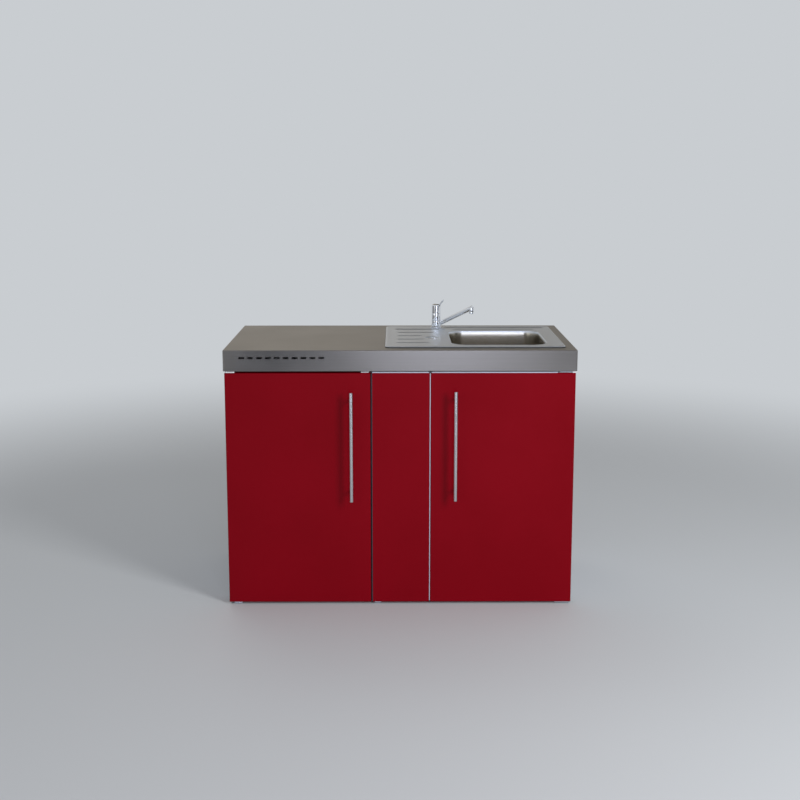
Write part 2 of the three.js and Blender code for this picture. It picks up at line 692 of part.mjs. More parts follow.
function mixerTap() {
  const ringTop = deckTop + seat + tapRingHeight;
  const collarBottom = ringTop + seat;
  const bodyBottom = collarBottom + collarHeight + seat;
  const bodyTop = bodyBottom + tapBodyHeight - collarHeight;
  const tap = new THREE.Group();
  tap.position.set(tapX, tapY, 0);
  unit.add(tap);

  const ring = turned([
    [tapCoreRadius + running, deckTop + seat], [tapRingRadius, deckTop + seat],
    [tapRingRadius, ringTop - tapRingEdge], [tapRingRadius - tapRingEdge, ringTop],
    [tapCoreRadius + running, ringTop],
  ]);
  add(tap, "tap_base_ring", ring, chromed);
  const underDeck = deckTop - sinkSheet - seat;
  const body = turned([
    [0, underDeck - tapShankLength], [tapCoreRadius, underDeck - tapShankLength],
    [tapCoreRadius, bodyBottom], [tapRadius, bodyBottom], [tapRadius, bodyTop], [0, bodyTop],
  ]);
  add(tap, "tap_body", body, chromed);
  const nut = cut(
    bar(tapNutRadius, underDeck - tapNutHeight, underDeck, 6),
    bar(tapCoreRadius + running, underDeck - tapNutHeight - 1, underDeck + 1, 32),
  );
  add(tap, "tap_nut", nut, zinc);

  // The swivelling collar with the straight rising spout
  const spout = new THREE.Group();
  spout.rotation.z = THREE.MathUtils.degToRad(spoutAzimuth);
  tap.add(spout);
  const collar = bar(tapRadius, collarBottom, collarBottom + collarHeight, 32);
  const tubeStart = new THREE.Vector3(0, 0, collarBottom + collarHeight / 2 - spoutRootDrop);
  const tubeEnd = new THREE.Vector3(spoutReach, 0, tubeStart.z + spoutRise);
  const along = tubeEnd.clone().sub(tubeStart).normalize();
  const nose = tubeEnd.clone().addScaledVector(along, aeratorRadius * 0.6);
  const head = bar(aeratorRadius, tubeEnd.z - spoutHeadDrop, tubeEnd.z + 2, 20)
    .translate(spoutReach, 0, 0);
  const bore = bar(tapCoreRadius + running, collarBottom - spoutRadius, collarBottom + collarHeight + 1, 32);
  const arm = cut(join(collar, rod([tubeStart, nose], spoutRadius, 16), head), bore);
  add(spout, "tap_spout", arm, chromed);
  const aeratorTop = tubeEnd.z - spoutHeadDrop - seat;
  const aeratorOuter = aeratorRadius - 1;
  const aeratorInner = aeratorOuter - aeratorWall;
  const aerator = turned([
    [aeratorInner, aeratorTop - aeratorLength], [aeratorOuter, aeratorTop - aeratorLength],
    [aeratorOuter, aeratorTop], [aeratorInner, aeratorTop],
  ], 20);
  add(spout, "tap_aerator", aerator, chromed, spoutReach, 0, 0);

  // The turning cap and the pin lever, whose ball sits in the cap
  const lever = new THREE.Group();
  lever.position.z = bodyTop + seat;
  lever.rotation.z = THREE.MathUtils.degToRad(spoutAzimuth);
  tap.add(lever);
  const pivot = tapCapHeight - leverDrop;
  const cap = turned([
    [0, 0], [tapRadius, 0], [tapRadius, tapCapHeight - 5], [tapRadius - 1.5, tapCapHeight - 1.5],
    [tapRadius - 5, tapCapHeight], [0, tapCapHeight],
  ]);
  const reach = 3 * tapRadius;
  const half = leverRadius + running;
  const edge = (degrees, side) => {
    const a = THREE.MathUtils.degToRad(degrees);
    const foot = [-side * half * Math.sin(a), side * half * Math.cos(a)];
    return [foot, [foot[0] + reach * Math.cos(a), foot[1] + reach * Math.sin(a)]];
  };
  const [lowFoot, lowEnd] = edge(leverElevation - 3, -1);
  const [highFoot, highEnd] = edge(leverElevation + leverLift + 3, 1);
  const sweep = pushed([lowFoot, lowEnd, highEnd, highFoot].map(([x, z]) => [z, x]), "y", -half, half);
  const pocket = new THREE.SphereGeometry(leverBallRadius + running, 14, 10);
  add(lever, "tap_cap", cut(cap, join(sweep, pocket).translate(0, 0, pivot)), chromed);
  const a = THREE.MathUtils.degToRad(leverElevation);
  const tip = new THREE.Vector3(leverLength * Math.cos(a), 0, leverLength * Math.sin(a));
  const ball = new THREE.SphereGeometry(leverBallRadius, 14, 10);
  const pin = join(ball, rod([new THREE.Vector3(), tip], leverRadius, 12));
  add(lever, "tap_lever", pin, chromed, 0, 0, pivot);
}

// ---------------------------------------------------------------- sink cabinet

function foot(name, x, y, top) {
  const shape = turned([
    [0, 0], [footRadius, 0], [footRadius, footPad - 3], [footStemRadius + 2, footPad],
    [footStemRadius, footPad], [footStemRadius, top - seat], [0, top - seat],
  ], 20);
  add(unit, name, shape, whitePlastic, x, y, 0);
}

function cabinet() {
  // Side panels: a web with flanges that turn into the cabinet at the front and the back
  const side = (outer, inward) => {
    const web = outer + inward * cabinetSheet;
    const tip = outer + inward * cabinetFlange;
    const outline = [
      [outer, cabinetFront], [tip, cabinetFront], [tip, cabinetFront + cabinetSheet],
      [web, cabinetFront + cabinetSheet], [web, cabinetBack - cabinetSheet],
      [tip, cabinetBack - cabinetSheet], [tip, cabinetBack], [outer, cabinetBack],
    ];
    // The front flange stops at the top of the doors, where the rail and the hinge pass it
    const notch = box(Math.min(web, tip + inward), Math.max(web, tip + inward),
      cabinetFront - 1, cabinetFront + 2 * cabinetSheet, doorTop, worktopHeight);
    return cut(pushed(outline, "z", cabinetFloorGap, underWorktop - seat), notch);
  };
  add(unit, "cabinet_side_left", side(centreLeft, 1), greyCoat);
  add(unit, "cabinet_side_right", side(frontsRight, -1), greyCoat);
  const left = centreLeft + cabinetSheet + seat;
  const right = frontsRight - cabinetSheet - seat;
  const front = cabinetFront + cabinetSheet + seat;
  const back = cabinetBack - cabinetSheet - seat;

  // The floor is a tray that opens downwards
  const base = tray(left, right, front, back, cabinetFloorGap, basePanelTop, cabinetSheet, "bottom");
  add(unit, "base_panel", base, greyCoat);

  const backPlate = cut(
    box(left, right, back - cabinetSheet, back, basePanelTop + seat, basePanelTop + backPanelHeight),
    bar(drainCutout, 0, 4 * cabinetSheet).rotateX(Math.PI / 2)
      .translate(bowlX, back + cabinetSheet, drainLevel),
  );
  add(unit, "back_panel", backPlate, greyCoat);

  // The front rail is a channel that opens upwards, with a tab that holds the centre panel
  const railTop = doorTop + hingeGap - seat;
  const railBottom = railTop - frontRailHeight;
  const rail = cut(
    box(left, right, front, front + frontRailDepth, railBottom, railTop),
    box(left - 1, right + 1, front + cabinetSheet, front + frontRailDepth - cabinetSheet,
      railBottom + cabinetSheet, railTop + 1),
  );
  const tabY = frontInset + frontSheet + panelTabSetback;
  const tab = box(left, left + panelTabWidth, tabY, front + cabinetSheet,
    doorTop + seat, doorTop + seat + panelTabHeight);
  add(unit, "front_rail", join(rail, tab), greyCoat);

  // The post behind the gap between the centre panel and the door
  const postMiddle = (centreRight + sinkDoorLeft) / 2;
  const postLeft = postMiddle - centrePostWidth / 2;
  const postRight = postMiddle + centrePostWidth / 2;
  const post = cut(
    box(postLeft, postRight, cabinetFront, cabinetFront + centrePostDepth,
      basePanelTop + seat, railBottom - seat),
    box(postLeft + cabinetSheet, postRight - cabinetSheet, cabinetFront + cabinetSheet,
      cabinetFront + centrePostDepth + 1, 0, doorTop + 1),
  );
  add(unit, "centre_post", post, greyCoat);

  const panel = tray(centreLeft, centreRight, frontInset, cabinetFront - seat,
    doorBottom, doorTop, frontSheet, "back");
  add(unit, "centre_panel", panel, rubyCoat);

  // The end panel under the worktop's left end, with a flange at the back
  const endOutline = [
    [frontsLeft, casingFront], [frontsLeft + cabinetSheet, casingFront],
    [frontsLeft + cabinetSheet, cabinetBack - cabinetSheet],
    [frontsLeft + cabinetFlange, cabinetBack - cabinetSheet],
    [frontsLeft + cabinetFlange, cabinetBack], [frontsLeft, cabinetBack],
  ];
  add(unit, "end_panel", pushed(endOutline, "z", 0, underWorktop - seat), greyCoat);

  const catchMiddle = sinkDoorLeft + catchWidth;
  const magnet = box(catchMiddle - catchWidth / 2, catchMiddle + catchWidth / 2,
    frontInset + sinkDoorThickness + catchGap, front + frontRailDepth,
    railBottom - seat - catchHeight, railBottom - seat);
  add(unit, "door_catch", magnet, whitePlastic);

  const footX = [left + footInset, right - footInset];
  const footY = [front + footInset, back - footInset];
  ["front_left", "front_right", "back_left", "back_right"].forEach((place, i) =>
    foot("cabinet_foot_" + place, footX[i % 2], footY[i < 2 ? 0 : 1], basePanelHeight));
}

// ---------------------------------------------------------------- doors

// A round bar handle on two posts, in the door's group, whose x and y are 0 on the hinge pin.
function barHandle(parent, prefix, x, topZ, hingeY) {
  const middle = topZ - handleLength / 2;
  const y = handleAxisY - hingeY;
  const r = handleDiameter / 2;
  const rodShape = turned([
    [0, 0], [r - 1, 0], [r, 1], [r, handleLength - 1], [r - 1, handleLength], [0, handleLength],
  ], 16);
  add(parent, prefix + "_handle_bar", rodShape, handleSteel, x, y, topZ - handleLength);
  const from = handleAxisY + r + seat;
  const to = frontInset - seat;
  const post = bar(handlePostDiameter / 2, 0, to - from, 16).rotateX(-Math.PI / 2);
  for (const [place, side] of [["top", 1], ["bottom", -1]]) {
    add(parent, prefix + "_handle_post_" + place, post, handleSteel, x, from - hingeY,
      middle + (side * handlePostSpacing) / 2);
  }
}

function fridgeDoor() {
  const hingeX = frontsLeft + fridgePinInset;
  const hingeY = frontInset + fridgePinDepth;
  const door = new THREE.Group();
  door.position.set(hingeX, hingeY, 0);
  unit.add(door);
  const left = frontsLeft - hingeX;
  const right = fridgeDoorRight - hingeX;
  const front = frontInset - hingeY;
  const back = front + fridgeDoorThickness;
  const pinHole = (z) => bar(fridgePinRadius + running, z - 3, z + 3);
  const skin = cut(
    tray(left, right, front, back, doorBottom, doorTop, frontSheet, "back"),
    pinHole(doorBottom), pinHole(doorTop),
  );
  add(door, "fridge_door_skin", skin, rubyCoat);

  // The moulded inner sheet closes the back, with a raised dike inside the gasket
  const inLeft = left + frontSheet + seat;
  const inRight = right - frontSheet - seat;
  const inBottom = doorBottom + frontSheet + seat;
  const inTop = doorTop - frontSheet - seat;
  const sheet = box(inLeft, inRight, back - doorLinerSheet, back, inBottom, inTop);
  const dike = [
    linerLeft + linerSheet + dikeGap - hingeX, linerRight - linerSheet - dikeGap - hingeX,
    linerFloor + linerSheet + dikeGap, linerTop - linerSheet - dikeGap,
  ];
  const [dikeLeft, dikeRight, dikeBottom, dikeTop] = dike;
  const dikeFrom = back - doorLinerSheet / 2;
  const dikeBack = back + dikeHeight;
  const frame = cut(
    box(dikeLeft, dikeRight, dikeFrom, dikeBack, dikeBottom, dikeTop),
    box(dikeLeft + dikeWidth, dikeRight - dikeWidth, back - doorLinerSheet, dikeBack + 1,
      dikeBottom + dikeWidth, dikeTop - dikeWidth),
  );
  add(door, "fridge_door_liner", join(sheet, frame), whitePlastic);

  // The gasket runs round the casing's front, clear of it and of the door by the seat
  const gasketLeft = casingLeft + gasketInset - hingeX;
  const gasketRight = casingRight - gasketInset - hingeX;
  const gasketBottom = casingBottom + gasketInset;
  const gasketTop = casingTop - gasketInset - hingeGap;
  const gasketBack = back + gasketThickness - seat;
  const gasket = cut(
    box(gasketLeft, gasketRight, back + seat, gasketBack, gasketBottom, gasketTop),
    box(gasketLeft + gasketWidth, gasketRight - gasketWidth, back, gasketBack + 1,
      gasketBottom + gasketWidth, gasketTop - gasketWidth),
  );
  add(door, "fridge_door_gasket", gasket, paleRubber);

  const rackLeft = dikeLeft + dikeWidth + rackSideGap;
  const rackRight = dikeRight - dikeWidth - rackSideGap;
  const rack = (level, height, depth) => tray(rackLeft, rackRight, back + seat, back + seat + depth,
    linerFloor + level, linerFloor + level + height, rackSheet, "top");
  const lowRack = rack(rackBottomLevel, rackBottomHeight, rackBottomDepth);
  add(door, "door_rack_bottom", lowRack, clearGlass);
  add(door, "door_rack_top", rack(rackTopLevel, rackTopHeight, rackTopDepth), clearGlass);

  // A white bumper on the top edge, near the free side
  const bumperFront = front + fridgeBumperSetback;
  const bumper = box(right - bumperEdge - fridgeBumperLength, right - bumperEdge, bumperFront,
    bumperFront + fridgeBumperWidth, doorTop + seat, doorTop + seat + bumperHeight);
  add(door, "fridge_door_bumper", bumper, whitePlastic);
  barHandle(door, "fridge", right - fridgeHandleInset, doorTop - fridgeHandleDrop, hingeY);
}

function sinkDoor() {
  const hingeX = frontsRight - sinkPinInset;
  const hingeY = frontInset + sinkPinDepth;
  const door = new THREE.Group();
  door.position.set(hingeX, hingeY, 0);
  unit.add(door);
  const left = sinkDoorLeft - hingeX;
  const right = frontsRight - hingeX;
  const front = frontInset - hingeY;
  const back = front + sinkDoorThickness;
  const pinHoles = [doorBottom, doorTop].map((z) => bar(sinkPinRadius + running, z - 4, z + 4));
  const skin = cut(
    tray(left, right, front, back, doorBottom, doorTop, frontSheet, "back"), ...pinHoles);
  add(door, "sink_door_skin", skin, rubyCoat);
  const gap = frontSheet + seat;
  const inner = cut(
    tray(left + gap, right - gap, front + gap, back, doorBottom + gap, doorTop - gap, frontSheet, "front"),
    ...pinHoles,
  );
  add(door, "sink_door_inner", inner, greyCoat);
  const bumperFront = front + sinkBumperSetback;
  const bumper = box(left + bumperEdge, left + bumperEdge + sinkBumperLength, bumperFront,
    bumperFront + sinkBumperWidth, doorTop + seat, doorTop + seat + bumperHeight);
  add(door, "sink_door_bumper", bumper, whitePlastic);
  barHandle(door, "sink", left + sinkHandleInset, doorTop - sinkHandleDrop, hingeY);
}

// ---------------------------------------------------------------- hinges

function hinges() {
  // The fridge's top plate lies on the casing, and its pin points down into the door
  const fx = frontsLeft + fridgePinInset;
  const fy = frontInset + fridgePinDepth;
  const fridgeLeft = casingLeft + seat;
  const topPlate = box(fridgeLeft, fridgeLeft + fridgeHingeWidth, fy - hingeMargin, fy + fridgeHingeReach,
    casingTop + seat, casingTop + seat + hingePlate);
  const topPin = bar(fridgePinRadius, doorTop - pinLength, casingTop + seat + 1, 20).translate(fx, fy, 0);
  add(unit, "fridge_hinge_top", join(topPlate, topPin), zinc);

  // The bottom plate passes under the door and steps up to the casing's floor
  const low = doorBottom - hingeGap - hingePlate;
  const riser = casingFront + 2;
  const lowPlate = box(fridgeLeft, fridgeLeft + fridgeHingeWidth, fy - hingeMargin, riser + hingePlate,
    low, low + hingePlate);
  const step = box(fridgeLeft, fridgeLeft + fridgeHingeWidth, riser, riser + hingePlate,
    low, casingBottom - seat);
  const flange = box(fridgeLeft, fridgeLeft + fridgeHingeWidth, riser, fy + fridgeHingeReach,
    casingBottom - seat - hingePlate, casingBottom - seat);
  const lowPin = bar(fridgePinRadius, low + 1, doorBottom + pinLength, 20).translate(fx, fy, 0);
  add(unit, "fridge_hinge_bottom", join(lowPlate, step, flange, lowPin), zinc);

  // The sink door's top plate lies on the front rail
  const sx = frontsRight - sinkPinInset;
  const sy = frontInset + sinkPinDepth;
  const plateRight = frontsRight - cabinetSheet - seat;
  const sinkTopPlate = box(plateRight - sinkHingeWidth, plateRight, sy - hingeMargin,
    cabinetFront + frontRailDepth, doorTop + hingeGap, doorTop + hingeGap + hingePlate);
  const sinkTopPin = bar(sinkPinRadius, doorTop - pinLength, doorTop + hingeGap + 1, 16)
    .translate(sx, sy, 0);
  add(unit, "sink_hinge_top", join(sinkTopPlate, sinkTopPin), zinc);

  // The bottom plate hangs on the front edge of the cabinet's floor, left of the pin
  const faceY = cabinetFront + cabinetSheet;
  const sinkLowPlate = box(plateRight - sinkHingeWidth, plateRight, sy - hingeMargin, faceY,
    low, low + hingePlate);
  const upright = box(plateRight - sinkHingeWidth, plateRight - cabinetFlange, faceY - hingePlate,
    faceY, low, basePanelHeight);
  const sinkLowPin = bar(sinkPinRadius, low + 1, doorBottom + pinLength, 16).translate(sx, sy, 0);
  add(unit, "sink_hinge_bottom", join(sinkLowPlate, upright, sinkLowPin), zinc);
}

// ---------------------------------------------------------------- fridge

// The fridge's space between two offsets from its outside, with the step over the compressor.
function steppedSpace(offset, front) {
  return cut(
    box(casingLeft + offset, casingRight - offset, front, casingBack - offset,
      casingBottom + offset, casingTop - offset),
    box(casingLeft, casingRight, nicheFront - offset, casingBack + 1, 0, nicheTop + offset),
  );
}

function fridge() {
  // Casing: sheet steel all round, a front flange, the floor under the compressor and two skids
  const shellOuter = steppedSpace(0, casingFront);
  const shellInner = steppedSpace(fridgeSheet, casingFront + fridgeSheet);
  const mouth = box(linerLeft - linerSheet - seat, linerRight + linerSheet + seat,
    casingFront - 1, casingFront + 2 * fridgeSheet,
    linerFloor - linerSheet - seat, linerTop + linerSheet + seat);
  const floorPlate = box(casingLeft, casingRight, nicheFront - 1, casingBack,
    casingBottom, casingBottom + 2 * fridgeSheet);
  const skids = [casingLeft, casingRight - skidWidth].map((x) =>
    box(x, x + skidWidth, casingBack - skidWidth, casingBack, 0, casingBottom + fridgeSheet));
  const casing = join(cut(shellOuter, shellInner, mouth), floorPlate, ...skids);
  add(unit, "fridge_casing", casing, whitePlastic);

  // Liner: a plastic tub with ledges for the shelves
  const tub = cut(
    steppedSpace(fridgeWall - linerSheet, casingFront),
    steppedSpace(fridgeWall, casingFront - 1),
  );
  const shelves = { fridge_shelf_lower: shelfLowerLevel, fridge_shelf_upper: shelfUpperLevel };
  const ledges = [];
  for (const level of Object.values(shelves)) {
    const top = linerFloor + level;
    for (const x of [linerLeft - linerSheet / 2, linerRight + linerSheet / 2 - ledgeWidth]) {
      ledges.push(box(x, x + ledgeWidth, casingFront + shelfSetback, linerBack - 1, top - ledgeHeight, top));
    }
  }
  add(unit, "fridge_liner", join(tub, ...ledges), whitePlastic);

  for (const [name, level] of Object.entries(shelves)) {
    const z = linerFloor + level + seat;
    const shelf = box(linerLeft + shelfSideGap, linerRight - shelfSideGap,
      casingFront + shelfSetback, linerBack - shelfSideGap, z, z + shelfThickness);
    add(unit, name, shelf, clearGlass);
  }

  const stepFront = nicheFront - fridgeWall;
  const crisper = tray(linerLeft + crisperSideGap, linerRight - crisperSideGap,
    casingFront + crisperSetback, stepFront - crisperBackGap, linerFloor + seat, linerFloor + crisperHeight,
    crisperSheet, "top");
  add(unit, "crisper_drawer", crisper, clearGlass);

  // Thermostat on the right wall, with its knob facing the door
  const houseRight = linerRight - seat;
  const houseTop = linerTop - thermostatDrop;
  const houseFront = casingFront + thermostatSetback;
  const house = box(houseRight - thermostatWidth, houseRight, houseFront, houseFront + thermostatDepth,
    houseTop - thermostatHeight, houseTop);
  add(unit, "thermostat_housing", house, whitePlastic);
  const dial = turned([
    [0, 0], [knobRadius, 0], [knobRadius - 1.5, knobDisc], [0, knobDisc],
  ], 24);
  const gripReach = knobRadius - 2;
  const grip = box(-knobGrip / 2, knobGrip / 2, -gripReach, gripReach, knobDisc / 2, knobLength);
  add(unit, "thermostat_knob", join(dial, grip).rotateX(Math.PI / 2), greyPlastic,
    houseRight - thermostatWidth / 2 - 1, houseFront - seat, houseTop - thermostatHeight / 2);

  // Compressor in its niche, and the condenser coil on the back
  const dome = turned([
    [0, 0], [compressorRadius, 0], [compressorRadius, 0.7 * compressorHeight],
    [0.85 * compressorRadius, 0.9 * compressorHeight], [0.5 * compressorRadius, compressorHeight],
    [0, compressorHeight],
  ], 20);
  const soleReach = 1.4 * compressorRadius;
  const sole = box(-soleReach, soleReach, -compressorRadius, compressorRadius, 0, compressorSole);
  add(unit, "compressor", join(dome, sole), blackPlastic, (casingLeft + casingRight) / 2,
    (nicheFront + casingBack) / 2, casingBottom + 2 * fridgeSheet + seat);
  const coilY = casingBack + seat + condenserTubeRadius;
  const runLeft = casingLeft + condenserInset + condenserPitch / 2;
  const runRight = casingRight - condenserInset - condenserPitch / 2;
  const coil = [];
  for (let run = 0; run < condenserRuns; run++) {
    const z = nicheTop + condenserInset + run * condenserPitch;
    const ends = run % 2 ? [runRight, runLeft] : [runLeft, runRight];
    const outward = Math.sign(ends[1] - ends[0]);
    coil.push(new THREE.Vector3(ends[0], coilY, z), new THREE.Vector3(ends[1], coilY, z));
    if (run === condenserRuns - 1) break;
    for (const degrees of [-45, 0, 45]) {
      const a = THREE.MathUtils.degToRad(degrees);
      const r = condenserPitch / 2;
      coil.push(new THREE.Vector3(ends[1] + outward * r * Math.cos(a), coilY, z + r + r * Math.sin(a)));
    }
  }
  add(unit, "condenser_coil", rod(coil, condenserTubeRadius, 6), blackPlastic);

  const footX = [casingLeft + fridgeHingeWidth + footInset, casingRight - footInset];
  ["left", "right"].forEach((place, i) =>
    foot("fridge_foot_" + place, footX[i], casingFront + footInset, casingBottom));
}

worktop();
sink();
drain();
mixerTap();
cabinet();
fridge();
hinges();
fridgeDoor();
sinkDoor();

unit.position.y = -(frontReach + worktopDepth) / 2;
const kitchenette = new THREE.Group();
kitchenette.add(unit);

export default kitchenette;
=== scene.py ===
# A steel kitchenette unit: a stainless worktop with an inset sink and a mixer tap, over an
# undercounter fridge on the left and a sink cabinet on the right, with red powder-coated fronts.
#
# Lengths are millimetres in the frame's own axes, +X to the right, +Y to the wall, +Z up from the
# floor, until the mesh maker turns them into metres. Colours are sRGB hex values.
import math

import bmesh
import bpy
import numpy as np
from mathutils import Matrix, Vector


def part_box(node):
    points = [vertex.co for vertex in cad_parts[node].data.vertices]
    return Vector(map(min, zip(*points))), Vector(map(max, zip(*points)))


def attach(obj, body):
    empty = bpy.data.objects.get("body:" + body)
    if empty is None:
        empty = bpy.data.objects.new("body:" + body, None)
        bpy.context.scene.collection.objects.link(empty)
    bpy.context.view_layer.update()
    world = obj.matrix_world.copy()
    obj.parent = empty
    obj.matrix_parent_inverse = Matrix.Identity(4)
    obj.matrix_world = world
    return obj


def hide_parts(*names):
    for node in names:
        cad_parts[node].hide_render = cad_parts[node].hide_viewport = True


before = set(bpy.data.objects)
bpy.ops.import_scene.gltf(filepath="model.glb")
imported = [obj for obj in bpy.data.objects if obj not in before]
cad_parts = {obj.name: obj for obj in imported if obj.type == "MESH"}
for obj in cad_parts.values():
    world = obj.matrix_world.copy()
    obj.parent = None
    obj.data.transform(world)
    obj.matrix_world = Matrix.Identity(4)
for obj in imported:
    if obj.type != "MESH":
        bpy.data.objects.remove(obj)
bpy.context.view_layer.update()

# ---------------------------------------- camera
# The photograph was taken from about 4 m in front of the unit, a little above the tap, with the
# camera tilted down 9 degrees. The lens was fitted to the worktop's and the doors' corners.

camera = bpy.data.objects.new("camera", bpy.data.cameras.new("camera"))
camera.data.sensor_width = 36
camera.data.lens = 52.886
camera.data.shift_y = -0.0625
camera.location = (-0.0154, -4.1933, 1.5404)
camera.rotation_euler = (math.pi / 2 - 0.1619, 0, -0.0038)
bpy.context.scene.collection.objects.link(camera)
bpy.context.scene.camera = camera

# ---------------------------------------- worktop
# The worktop is one sheet of 1.5 mm stainless steel, brushed lengthways. Its edges are folded down
# 72 mm over a press brake, the corners are welded and ground, and ten air slots are punched in
# the front over the fridge. It carries the sink in a cut-out.


def srgb(code):
    """The linear colour of a hex value: channel c becomes c / 12.92 up to 0.04045, and above that
    ((c + 0.055) / 1.055) to the power 2.4."""
    c = np.array([int(code[i:i + 2], 16) for i in (0, 2, 4)]) / 255
    return (*np.where(c <= 0.04045, c / 12.92, ((c + 0.055) / 1.055) ** 2.4), 1.0)


def node(tree, kind, inputs=(), **settings):
    """Adds a shader node with its settings. inputs pairs each socket's name or number with a
    value, or with the output of another node, which is linked to it."""
    made = tree.nodes.new("ShaderNode" + kind)
    for name, value in settings.items():
        setattr(made, name, value)
    for socket, value in dict(inputs).items():
        if isinstance(value, bpy.types.NodeSocket):
            tree.links.new(value, made.inputs[socket])
        else:
            made.inputs[socket].default_value = value
    return made


def finish(name, colour, roughness, metallic=0.0, **sockets):
    """A new material, its node tree, its shader and its Object coordinates. Constants go straight
    on the shader's own sockets, whose names are written with underscores."""
    made = bpy.data.materials.new(name)
    made.use_nodes = True
    made.diffuse_color = srgb(colour)
    tree = made.node_tree
    shader = tree.nodes["Principled BSDF"]
    shader.inputs["Base Color"].default_value = srgb(colour)
    shader.inputs["Roughness"].default_value = roughness
    shader.inputs["Metallic"].default_value = metallic
    for socket, value in sockets.items():
        shader.inputs[socket.replace("_", " ")].default_value = value
    return made, tree, shader, node(tree, "TexCoord").outputs["Object"]


def vary(tree, shader, pattern, low, high, roughness, colours=None):
    """As the pattern goes from low to high, the roughness goes from the first of its two values to
    the second, and so does the colour where two are given."""
    share = node(tree, "MapRange", {"Value": pattern, "From Min": low, "From Max": high})
    level = node(tree, "MapRange", {"Value": share.outputs[0], "To Min": roughness[0],
                                    "To Max": roughness[1]})
    tree.links.new(level.outputs[0], shader.inputs["Roughness"])
    if colours:
        tint = node(tree, "Mix", {0: share.outputs[0], 6: srgb(colours[0]), 7: srgb(colours[1])},
                    data_type="RGBA")
        tree.links.new(tint.outputs[2], shader.inputs["Base Color"])


def brushed(name, colours, roughness, along, streak, bump):
    """Brushed metal: a noise stretched 300 mm along the brush and streak mm across it drives the
    colour, the roughness and a fine bump, and a slow noise clouds the roughness."""
    made, tree, shader, where = finish(name, colours[0], roughness[0], 1.0)
    scale = [1000 / streak] * 3
    scale["xyz".index(along)] = 1000 / 300
    lines = node(tree, "TexNoise", {
        "Vector": node(tree, "Mapping", {"Vector": where, "Scale": scale}).outputs[0],
        "Scale": 1.0, "Detail": 4.0, "Roughness": 0.7})
    cloud = node(tree, "TexNoise", {"Vector": where, "Scale": 5.0, "Detail": 2.0})
    mixed = node(tree, "Math", {0: lines.outputs[0], 1: cloud.outputs[0]}, operation="ADD")
    vary(tree, shader, mixed.outputs[0], 0.7, 1.3, roughness, colours)
    ridges = node(tree, "Bump", {"Height": lines.outputs[0], "Strength": bump, "Distance": 0.0001})
    tree.links.new(ridges.outputs[0], shader.inputs["Normal"])
    return made


def ring(width, depth, radius, corner=5, sides=((), (), (), ())):
    """A rounded rectangle about 0, 0, counter-clockwise. Each corner is a quarter circle about
    (width / 2 - radius, depth / 2 - radius), and sides gives points between the corners, as
    fractions of the way along the back, left, front and right."""
    corner = np.broadcast_to(corner, 4)
    radius = min(max(radius, 0.2), width / 2, depth / 2)
    arcs = []
    for k, (sx, sy) in enumerate([(1, 1), (-1, 1), (-1, -1), (1, -1)]):
        turn = np.radians(90 * k + np.linspace(0, 90, corner[k] + 1))
        arcs.append(np.stack([sx * (width / 2 - radius) + radius * np.cos(turn),
                              sy * (depth / 2 - radius) + radius * np.sin(turn)], axis=-1))
    line = []
    for k in range(4):
        start, end = arcs[k][-1], arcs[(k + 1) % 4][0]
        share = np.reshape(sides[k], (-1, 1))
        line += [arcs[k], start + share * (end - start)]
    return np.concatenate(line)


# Where x, y and z stand among a ring's two axes and its level, for each axis that it is square to
column_order = {"x": [2, 0, 1], "y": [0, 2, 1], "z": [0, 1, 2]}


def stack(axis, steps, centre=(0, 0)):
    """Rings of points square to an axis. Each step is a ring in the other two axes, in the order
    x, y, z, and its level along the axis, or one for each point. centre moves all the rings."""
    rows = np.stack([np.column_stack([points + np.array(centre), np.full(len(points), level)])
                     for points, level in steps])
    return rows[..., column_order[axis]]


def capped(grid):
    """The rings with a middle point before the first and after the last, so that both ends close.
    A second ring drawn in by 0.4 mm keeps each flat end flat in the shading."""
    first, last = grid[0], grid[-1]
    ends = []
    for loop in (first, last):
        middle = loop.mean(axis=0)
        gap = loop - middle
        reach = np.linalg.norm(gap, axis=1).max()
        ends.append([np.broadcast_to(middle, loop.shape), middle + gap * (1 - 0.4 / max(reach, 1))])
    return np.concatenate([ends[0], grid, ends[1][::-1]])


def piece(name, grids, material, body, stands_for=(), sheet=0.0, holes=None):
    """One mesh from grids of the shape rings, points, 3: quads join each ring to the next and
    close round it. sheet is the thickness, inwards, of an open skin, and holes marks quads of the
    first grid to leave out."""
    quads, start = [], 0
    for number, grid in enumerate(grids):
        index = np.arange(grid[..., 0].size).reshape(grid.shape[:2]) + start
        ahead = np.roll(index, -1, axis=1)
        faces = np.stack([index[:-1], ahead[:-1], ahead[1:], index[1:]], axis=-1)
        quads.append(faces[~holes] if holes is not None and number == 0 else faces.reshape(-1, 4))
        start += index.size
    quads = np.concatenate(quads).astype(np.int32)
    data = bpy.data.meshes.new(name)
    data.vertices.add(start)
    places = np.concatenate([grid.reshape(-1, 3) for grid in grids]) / 1000
    data.vertices.foreach_set("co", places.ravel())
    data.loops.add(quads.size)
    data.loops.foreach_set("vertex_index", quads.ravel())
    data.polygons.add(len(quads))
    data.polygons.foreach_set("loop_start", np.arange(0, quads.size, 4, dtype=np.int32))
    data.update(calc_edges=True)
    shape = bmesh.new()
    shape.from_mesh(data)
    bmesh.ops.remove_doubles(shape, verts=shape.verts, dist=2e-6)
    bmesh.ops.dissolve_degenerate(shape, edges=shape.edges, dist=1e-7)
    if not sheet:
        bmesh.ops.recalc_face_normals(shape, faces=shape.faces)
    shape.to_mesh(data)
    shape.free()
    return dress(name, data, material, body, stands_for, sheet)


